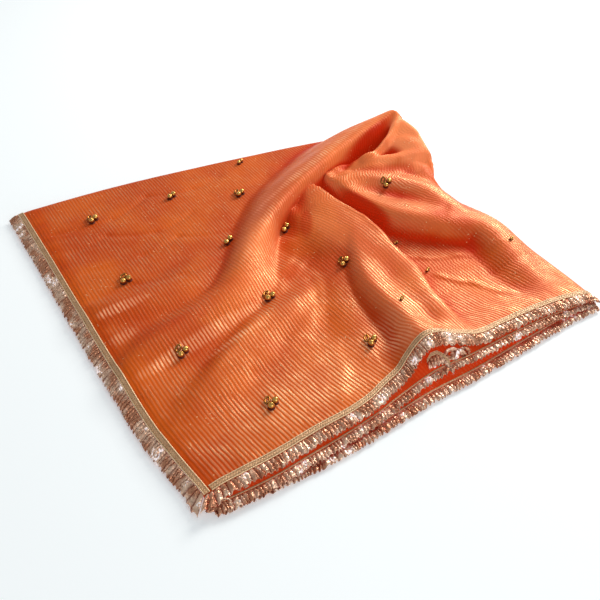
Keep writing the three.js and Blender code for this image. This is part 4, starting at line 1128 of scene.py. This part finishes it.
def ruffle(name, line, width, swing, seed, stands_for=None, free_z=None, drop=None):
    """A gathered ruffle along a seam. Its free edge lies at free_z, or `drop` under the seam."""
    rng = np.random.default_rng(seed)
    at = line["at"]
    pleats = int(at[-1] / PLEAT)
    knots = np.linspace(0, at[-1], pleats + 1)

    def each(low, high):
        """A number for every pleat, passing evenly from one to the next."""
        return np.interp(at, knots, rng.uniform(low, high, pleats + 1))

    pace = each(0.6, 1.6)
    turn = np.cumsum(pace) / pace.sum() * pleats * 2 * np.pi
    height, fold_over = each(0.5, 1.2) * swing, each(0.1, 1.3)
    flare, tilt, slant = each(-1.0, 0.8), each(-1, 1), each(-0.7, 0.5)
    crown = 2 * np.abs(np.sin(turn / 2)) ** 0.8 - 1
    small = np.linspace(0, at[-1], int(at[-1] / KINK_STEP))
    start = line["line"] + line["out"] * SEAM_GAP - line["up"] * 0.15
    end = start + line["out"] * (width + flare)[:, None]
    if free_z is not None:
        end[:, 2] = free_z
    elif drop is not None:
        end[:, 2] = start[:, 2] - drop
    grid = np.zeros((RUFFLE_ROWS, len(at), 3))
    for row, t in enumerate(np.linspace(0, 1, RUFFLE_ROWS)):
        spread = (0.34 + 0.66 * t**0.7) * (1 - 0.3 * t**5)
        kink = KINK * np.interp(at, small, rng.normal(0, 1, len(small))) * min(1.0, 3 * t)
        lift = height * spread * crown + kink + BELLY * math.sin(math.pi * t)
        over = fold_over * spread * (0.22 * crown + 0.16 * np.sin(2 * turn + tilt))
        lean = PLEAT * (over + slant * t) + kink
        curl = CURL * t * t * np.cos(turn + tilt)
        grid[row] = start * (1 - t) + end * t + line["up"] * lift[:, None]
        grid[row] += line["along"] * lean[:, None] + line["out"] * curl[:, None]
    grid[..., 2] = soft_floor(grid[..., 2], LOWEST)
    uv = np.stack([np.tile(at, (RUFFLE_ROWS, 1)), arc_lengths(grid, 0)], -1)
    if normals_of(grid)[..., 2].mean() < 0:
        grid, uv = grid[::-1], uv[::-1]
    # Painted shade: the gaps between pleats, where each pleat dips, are painted red-brown.
    gap = np.tile(np.clip(-0.1 - 1.2 * crown, 0, 1), (RUFFLE_ROWS, 1))
    under = grid - normals_of(grid) * RUFFLE_WALL
    return shell(name, grid, under, uv, RUFFLE, stands_for, gap=gap)


# %% Four ruffles
HANG = ([0, 245, 290, 310, 350, 380], [1.2, 1.5, 6, 10, 7, 1.5])   # mm along, mm down
NARROWER = ([0, 200, 300], [10.5, 10, 8.5])                        # mm along, mm wide
hang = np.interp(SEAMS["upper"]["at"], *HANG)
narrower = np.interp(SEAMS["middle"]["at"], *NARROWER)
ruffles = [
    ruffle("end_frill", SEAMS["end"], 13, 2.1, 11, "end_ruffle", free_z=3.2),
    ruffle("upper_frill", SEAMS["upper"], 12.8, 1.9, 12, "upper_ruffle", drop=hang),
    ruffle("middle_frill", SEAMS["middle"], narrower, 1.6, 13, "middle_ruffle", drop=1),
    ruffle("lower_frill", SEAMS["lower"], 12.5, 1.9, 14, "lower_ruffle", free_z=3.0),
]

# %% [markdown]
# ## Woven braid
#
# The tape has a round cord along each edge and a plaited middle, whose strands cross every few
# millimetres. The cords and the plait are raised in the mesh, because they catch the light one
# by one; the threads inside them are left to the bump of the material.

# %% Braid builder
BRAID_STEP, BRAID_ROWS, NARROW_ROWS = 0.62, 17, 7
BRAID_FOOT, BRAID_LIFT = 0.12, 0.35   # mm from the cloth to the tape, and to where its relief starts
CORD_TWIST, PLAIT_TWIST = 2.3, 3.1    # mm of tape for one turn of a cord, one crossing


def braid_height(across, along):
    """Height of the tape at a share across it and a distance along it, in mm."""
    cords = sum(np.exp(-(((across - middle) / 0.065) ** 2)) for middle in (0.10, 0.90))
    twist = 0.75 + 0.25 * np.sin(along * 2 * np.pi / CORD_TWIST)
    strand = along * np.pi / PLAIT_TWIST
    plait = np.abs(np.sin(strand + across * 7)) * np.abs(np.sin(strand - across * 7))
    middle = np.clip(1 - ((across - 0.5) / 0.30) ** 4, 0, 1)
    return 0.30 + 0.75 * cords * twist + 0.6 * plait * middle


def braid(name, top_of, length, stands_for=None, rows=BRAID_ROWS):
    """A tape on the cloth. top_of(share across, share along) gives the cloth under it."""
    s, t = np.meshgrid(np.linspace(0, 1, int(length / BRAID_STEP)), np.linspace(0, 1, rows))
    base = top_of(t, s)
    up = 1 if normals_of(base)[..., 2].mean() > 0 else -1
    normals = up * normals_of(base)
    grid = base + normals * (BRAID_LIFT + braid_height(t, s * length))[..., None]
    under = base + normals * BRAID_FOOT
    uv = np.stack([s * length, t * BRAID_WIDTH], -1)
    return shell(name, grid[::up], under[::up], uv[::up], BRAID, stands_for)


# %% Four tapes
LOWER_WIDTH = 1.5             # what shows of the tape on the layers below
SIDE_SHORTER = 60             # mm that the side fold is shorter than the trimmed end


def on_end(t, s):
    """The cloth under the trimmed end's tape, at shares across it and along it."""
    return cloth_points(t * BRAID_WIDTH / LENGTH_X, 0.001 + s * 0.998)


def on_front(t, s):
    """The cloth under the upper margin's tape, which starts beside the trimmed end's."""
    u = 0.0165 + s * 0.983
    return cloth_points(u, t * BRAID_WIDTH / (LENGTH_Y - SIDE_SHORTER * u))


def on_margin(table):
    """The cloth under a lower margin's tape."""
    start, end = table["x"][0], table["x"][-1]
    return lambda t, s: margin_points(table, start + s * (end - start), t * LOWER_WIDTH)


braids = [
    braid("end_tape", on_end, 537, "end_braid"),
    braid("upper_tape", on_front, 545, "upper_braid"),
    braid("middle_tape", on_margin(MIDDLE), 524, "middle_braid", NARROW_ROWS),
    braid("lower_tape", on_margin(LOWER), 527, "lower_braid", NARROW_ROWS),
]

# %% [markdown]
# ## Edges that curl up
#
# In two places a trimmed edge doesn't lie flat. In the mouth of the front wave a bit of the
# layer below turns up like a hook, braid and all, and at the front left corner the gathers
# roll into small trumpets with a dark inside. A trumpet is a ruffle sewn to a tiny ring.

# %% Curled edges
HOOK = np.array([(284, 27, 15), (290, 29, 20), (297, 27, 22), (302, 20, 20), (305, 12, 13)], float)
HOOK_ACROSS = 4.2 * np.array([0.25, 0.55, 0.80])
OPENING = unit(np.array([-0.35, -0.72, 0.42]))   # the way the trumpets open
TRUMPETS = [                  # x, y, z, ring radius, length, flare, seed
    (314, 23, 16, 2.0, 7.0, 0.7, 31), (11, 5, 5.5, 1.8, 6.5, 0.45, 32),
    (23, 2, 5, 1.7, 6.0, 0.45, 33), (322, 18, 13, 1.6, 6.5, 0.8, 34),
    (331, 18, 13.5, 1.2, 5.5, 0.8, 36),
]


def on_hook(t, s):
    """The curled tape: s runs along the hook, t up across it."""
    at = s * (len(HOOK) - 1)
    line = np.stack([np.interp(at, range(len(HOOK)), HOOK[:, k]) for k in range(3)], -1)
    return line + t[..., None] * HOOK_ACROSS


def trumpet(name, x, y, z, radius, length, flare, seed):
    """A ruffle round a small ring, opening towards one side."""
    beside = unit(np.cross(OPENING, [0, 0, 1]))
    above = np.cross(beside, OPENING)
    turn = np.linspace(0, 2 * np.pi, 72)
    radial = np.outer(np.cos(turn), beside) + np.outer(np.sin(turn), above)
    line = np.array([x, y, z]) + radius * radial
    out = unit(radial * flare + OPENING * (1 - flare))
    along = np.gradient(line, axis=0)
    ring = {"line": line, "out": out, "up": unit(np.cross(along, out)),
            "along": unit(along), "at": line_length(line)}
    return ruffle(name, ring, length, 0.8, seed)


braids.append(braid("tucked_tape", on_hook, 42))
hook_line = on_hook(np.zeros(60), np.linspace(0, 1, 60))
hook_seam = seam(hook_line, hook_line + (0.2, 10, 6))
ruffles.append(ruffle("tucked_frill", hook_seam, 8.5, 1.6, 35, drop=8))
ruffles += [trumpet(f"curl_{number}", *row) for number, row in enumerate(TRUMPETS, 1)]

# %% [markdown]
# ## Bell clusters
#
# Small bells are sewn on in threes, in a wide staggered repeat: two domed bells that stand up
# and one leaf-shaped loop beside them. A bell is a turned ball with a collar under it, a ridge
# round its middle and a small cap. It is made once, as a profile spun round its axis, and then
# set on the cloth by its normal.

# %% Bell shapes
BELL_RADIUS = 4.0
BALL_RADIUS = 3.72
COLLAR = [(1.1, -4.0), (1.5, -3.75), (1.45, -3.45)]   # radius and height of each row
CAP = [(0.92, 3.72), (0.95, 3.95), (0.55, 4.0), (0.12, 4.02)]
# the dark disc under a bell, which stands for its contact shadow
SHADOW_DISC_PROFILE = [(4.0, 0.02), (3.9, 0.35), (2.8, 0.8), (1.2, 1.0), (0.2, 1.02)]


def spun(profile, segments):
    """Points and faces of a profile, radius and height in mm, turned round the z axis."""
    angle = np.arange(segments) / segments * 2 * np.pi
    radius, height = np.array(profile, float).T[..., None]
    rings = np.broadcast_arrays(radius * np.cos(angle), radius * np.sin(angle), height)
    return np.stack(rings, -1).reshape(-1, 3), ring_faces(len(profile), segments)


def bell_profile():
    degrees = np.arange(-52, 76, 8)
    radius = BALL_RADIUS + 0.16 * np.exp(-((degrees + 2) / 7) ** 2)
    angle = np.radians(degrees)
    return [*COLLAR, *zip(radius * np.cos(angle), radius * np.sin(angle)), *CAP]


def leaf_shape(segments=22, sides=8, thick=1.15):
    """A loop of thick wire, longer than wide and pointed at one end."""
    a = np.arange(segments)[:, None] / segments * 2 * np.pi
    b = np.arange(sides) / sides * 2 * np.pi
    pinch = 1 - 0.45 * np.cos(a) ** 8 * (np.cos(a) > 0)
    out = thick * np.cos(b)
    rings = np.broadcast_arrays((4.6 + out) * np.cos(a), (2.3 * pinch + out) * np.sin(a),
                                thick * np.sin(b))
    index = np.arange(segments * sides).reshape(segments, sides)
    after = np.roll(index, -1, axis=0)
    faces = np.stack([index, after, np.roll(after, -1, axis=1), np.roll(index, -1, axis=1)], -1)
    return np.stack(rings, -1).reshape(-1, 3), faces.reshape(-1, 4).tolist()


BALL, BALL_FACES = spun(bell_profile(), 20)
LEAF, LEAF_FACES = leaf_shape()
print("points of a bell:", len(BALL), "and of a leaf:", len(LEAF))

# %% Bells on the cloth
BELLS = [                     # x, y, bells, radius
    (66, 474, 3, 4), (183, 468, 2, 4), (266, 421, 3, 4), (58, 327, 3, 4), (201, 330, 2, 4),
    (276, 312, 2, 4), (68, 179, 3, 4), (194, 207, 3, 4), (298, 206, 3, 4), (112, 68, 3, 4),
    (249, 80, 3, 4), (429, 288, 3, 4), (389, 211, 2, 2), (503, 120, 2, 2), (309, 107, 2, 2),
    (384, 145, 2, 2), (306, 494, 2, 3),
]
PAIR_TURN = 20                # degrees from x, the line through a cluster's two bells
PAIR_REACH = 4.1              # mm from the middle of the pair to each bell, and up to it
LEAF_TURN = 0.35              # radians that a leaf is turned from that line
LEAF_ALONG, LEAF_BEHIND, LEAF_UP = 0.6, 7.6, 3.0   # mm from the pair's middle to the leaf's
SEARCH_REACH = 3.2            # mm round a place in which the highest cloth is taken
UP = np.array([0.0, 0.0, 1.0])


def cloth_under(x, y):
    """Top point and normal of the upper layer at a plan place."""
    away = np.hypot(cloth_top[..., 0] - x, cloth_top[..., 1] - y)
    close = away < SEARCH_REACH
    heights = np.where(close, cloth_top[..., 2], -1)
    best = np.unravel_index(np.argmax(heights if close.any() else -away), away.shape)
    return cloth_top[best], cloth_normals[best]


def facing(normal):
    """A turn that carries +z to the normal, as a 3 by 3 matrix."""
    return np.array(Vector((0, 0, 1)).rotation_difference(Vector(normal)).to_matrix())


def bell_cluster(index, x, y, bells, radius):
    """Two domed bells on dark discs as their shadows and, where there are three, a leaf loop behind.
    """
    rng = np.random.default_rng(40 + index)
    place, normal = cloth_under(x, y)
    turn, size = facing(normal), radius / BELL_RADIUS
    axis = math.radians(PAIR_TURN + rng.uniform(-14, 14))
    along = np.array([math.cos(axis), math.sin(axis), 0])
    behind = np.array([-along[1], along[0], 0])
    points, faces, shades = [], [], []

    def add(shape, links, offset, shade):
        """Set a shape on the cloth, moved by `offset` over it and up from it."""
        start = sum(len(p) for p in points)
        points.append(size * (shape + offset) @ turn.T + place)
        faces.extend([i + start for i in face] for face in links)
        shades.extend([shade] * len(links))

    for way in (-1, 1):
        lean = Vector((rng.uniform(-0.35, 0.35), rng.uniform(-0.35, 0.35), 1)).normalized()
        beside = along * way * PAIR_REACH
        add(BALL @ facing(lean).T, BALL_FACES, beside + UP * PAIR_REACH, 0)
        # a dark disc under the bell, as its painted shadow
        add(*spun(SHADOW_DISC_PROFILE, 14), beside, 1)
    if bells > 2:
        c, s = math.cos(axis + LEAF_TURN), math.sin(axis + LEAF_TURN)
        leaf = LEAF @ np.array([[c, s, 0], [-s, c, 0], [0, 0, 1]])
        # the leaf loop takes the darker gold, painted as in shade
        add(leaf, LEAF_FACES, behind * LEAF_BEHIND + along * LEAF_ALONG + UP * LEAF_UP, 2)
    name = f"bells_{index:02d}"
    piece = new_piece(name + "_gold", np.concatenate(points), faces, BELL, SHADOW_DISC, SHADED_GOLD)
    piece.data.polygons.foreach_set("material_index", shades)
    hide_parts(name)
    return piece


clusters = [bell_cluster(i, *row) for i, row in enumerate(BELLS, 1)]
print("bell clusters:", len(clusters))

# %% [markdown]
# ## Stitches
#
# A running stitch holds the trimmed end's tape and the upper margin's tape down along both of
# their edges. A stitch is a short bead of thread that lies on the tape, one every few
# millimetres, all joined into one mesh.

# %% Running stitches
STITCH_PITCH, STITCH_LENGTH, STITCH_RADIUS = 3.4, 2.1, 0.26
STITCH_UP = 0.95              # mm from where the tape's relief starts to a stitch
BEAD = [(0.05, -0.5), (0.8, -0.32), (1.0, 0.0), (0.8, 0.32), (0.05, 0.5)]   # shares of both
STITCHED = ((on_end, 541), (on_front, 545))    # the two tapes and their lengths


def faces_of_many(faces, points_each, count):
    """The faces of `count` copies of a shape, one after another."""
    return [[i + k * points_each for i in face] for k in range(count) for face in faces]


def stitch_places(top_of, length, across):
    """Where the stitches lie on one tape edge, and how each is turned."""
    s = np.arange(STITCH_PITCH / 2, length, STITCH_PITCH) / length
    t = np.full_like(s, across)
    here, ahead = top_of(t, s), top_of(t, np.clip(s + 0.001, 0, 1))
    along = unit(ahead - here + 1e-9)
    up = unit(np.cross(along, top_of(t + 0.05, s) - here))
    up = np.where(up[:, 2:3] < 0, -up, up)
    return here + up * (BRAID_LIFT + STITCH_UP), np.stack([along, np.cross(up, along), up], -1)


rows = [stitch_places(*tape, across) for tape in STITCHED for across in (0.26, 0.74)]
places, turns = (np.concatenate(part) for part in zip(*rows))
bead, bead_faces = spun(np.array(BEAD) * (STITCH_RADIUS, STITCH_LENGTH), 6)
lying = bead[:, [2, 0, 1]]    # from upright to along x
copies = np.einsum("nij,pj->npi", turns, lying) + places[:, None]
stitches = report(new_piece("stitches", copies.reshape(-1, 3),
                            faces_of_many(bead_faces, len(bead), len(places)), THREAD))

# %% [markdown]
# ## Frayed ends
#
# Metal tissue frays where it is cut. Hundreds of short bent threads stand out of the ruffles'
# free edges. Each is a thin three-sided spike, which is enough for something a tenth of a
# millimetre thick, and all of one edge are joined into one mesh.

# %% Loose threads
FRAY_RADIUS, FRAY_LOWEST = 0.10, 0.16   # mm, at a thread's foot and over the ground


def fray(name, line, width, seed, count, free_z=None, drop=0.0):
    """Short bent threads along a ruffle's free edge, three rings of three points in each."""
    rng = np.random.default_rng(seed)
    pick = rng.integers(4, len(line["at"]) - 4, count)
    seam_at, out, along = line["line"][pick], line["out"][pick], line["along"][pick]
    start = seam_at + out * (width + rng.uniform(-2.5, 0.4, (count, 1)))
    start[:, 2] = free_z if free_z is not None else seam_at[:, 2] - drop
    start[:, 2] = np.maximum(start[:, 2] + rng.uniform(-1.2, 1.2, count), 0.5)
    way = out + along * rng.uniform(-0.9, 0.9, (count, 1))
    way = unit(way + UP * rng.uniform(-0.3, 0.35, (count, 1)))
    long = rng.uniform(1.2, 3.4, (count, 1))
    bend = rng.uniform(-0.5, 0.5, (count, 1))
    side = unit(np.cross(way, UP))
    angle = (np.arange(3) / 3 * 2 * np.pi)[:, None]
    round_it = side[:, None] * np.cos(angle) + UP * np.sin(angle)
    rings = []
    for t in (0.0, 0.5, 1.0):
        centre = start + way * long * t + side * bend * t * t
        centre[:, 2] = np.maximum(centre[:, 2] - 0.5 * t * t, FRAY_LOWEST)
        rings.append(centre[:, None] + FRAY_RADIUS * (1 - 0.7 * t) * round_it)
    faces = faces_of_many(ring_faces(3, 3), 9, count)
    points = np.stack(rings, 1).reshape(-1, 3)
    return report(new_piece(name, points, faces, RUFFLE, flat=len(faces)))


frays = [
    fray("end_fray", SEAMS["end"], 13, 21, 380, free_z=2.9),
    fray("upper_fray", SEAMS["upper"], 14, 22, 260, drop=1.6),
    fray("middle_fray", SEAMS["middle"], 12.5, 23, 240, drop=1.0),
    fray("lower_fray", SEAMS["lower"], 12.5, 24, 340, free_z=2.6),
]

# %% [markdown]
# ## One body
#
# Nothing here moves on its own, so every piece rides on the one body.

# %% Ride on the one body
for piece, slot in (
    *((p, "cloth") for p in (upper, middle, lower, stack)),
    *((p, "braid") for p in (*braids, stitches)),
    *((p, "ruffle") for p in (*ruffles, *frays)),
    *((p, "bells") for p in clusters),
):
    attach(piece, "root")

# %% [markdown]
# ## Floor, light and camera
#
# The sari lies on a plain pale sheet under one large soft light from the right and a little
# behind, so that its near slopes fall into a warm shade and its far slopes glow. A weaker one
# from the front opens the shade, and one from above gives the trims their gloss. The world
# fills in with a cool white. The camera looks down on the front left corner.

# %% Floor
FLOOR_GAP = 0.0004            # metres under the lowest solid
sheet_look, _, _ = new_material(
    "pale floor", Base_Color=(0.80, 0.83, 0.84, 1), Roughness=0.9, Specular_IOR_Level=0.1,
    Emission_Color=(0.93, 0.98, 1.0, 1), Emission_Strength=0.34)
bpy.ops.mesh.primitive_plane_add(size=14, location=(0, 0, cad_low[2] - FLOOR_GAP))
floor = bpy.context.object
floor.name = "floor"
floor.data.materials.append(sheet_look)
print("floor at", round(floor.location.z / MM, 2), "mm")

# %% Light
def area_light(name, place, size, energy, colour):
    """A square soft light that looks at the middle of the sari."""
    data = bpy.data.lights.new(name, "AREA")
    data.size, data.energy, data.color = size, energy, colour
    lamp = bpy.data.objects.new(name, data)
    lamp.location = place
    lamp.rotation_euler = (-Vector(place)).to_track_quat("-Z", "Y").to_euler()
    bpy.context.scene.collection.objects.link(lamp)
    return lamp


key = area_light("key", (1.62, 0.53, 1.02), 0.8, 33, (1.0, 0.97, 0.92))
front = area_light("front", (0.2, -2.1, 0.95), 1.4, 13, (1.0, 0.98, 0.96))
gloss = area_light("gloss", (0.8, 1.0, 1.9), 0.9, 6, (1.0, 0.98, 0.95))
world = bpy.data.worlds.new("pale studio")
world.use_nodes = True
world_colour, world_strength = world.node_tree.nodes["Background"].inputs[:2]
world_colour.default_value = (0.90, 0.96, 1.0, 1)
world_strength.default_value = 0.34
bpy.context.scene.world = world
bpy.context.scene.view_settings.view_transform = "Standard"
print("lights:", key.name, front.name, gloss.name)

# %% Camera
CAMERA_PLACE = (-95.4, -313.6, 570.0)   # mm, from the cloth's front left corner
CAMERA_TURN = 32.35                     # degrees from +y towards +x
CAMERA_PITCH = 43.2                     # degrees down
LENS, SENSOR = 40.56, 36.0

turn, pitch = math.radians(CAMERA_TURN), math.radians(CAMERA_PITCH)
level = math.cos(pitch)
look = Vector((math.sin(turn) * level, math.cos(turn) * level, -math.sin(pitch)))
lens = bpy.data.cameras.new("camera")
lens.lens, lens.sensor_width = LENS, SENSOR
lens.clip_start, lens.clip_end = 0.01, 30
camera = bpy.data.objects.new("camera", lens)
camera.location = metres(CAMERA_PLACE)
camera.rotation_euler = look.to_track_quat("-Z", "Y").to_euler()
bpy.context.scene.collection.objects.link(camera)
bpy.context.scene.camera = camera
print("camera at", [round(c, 3) for c in camera.location])
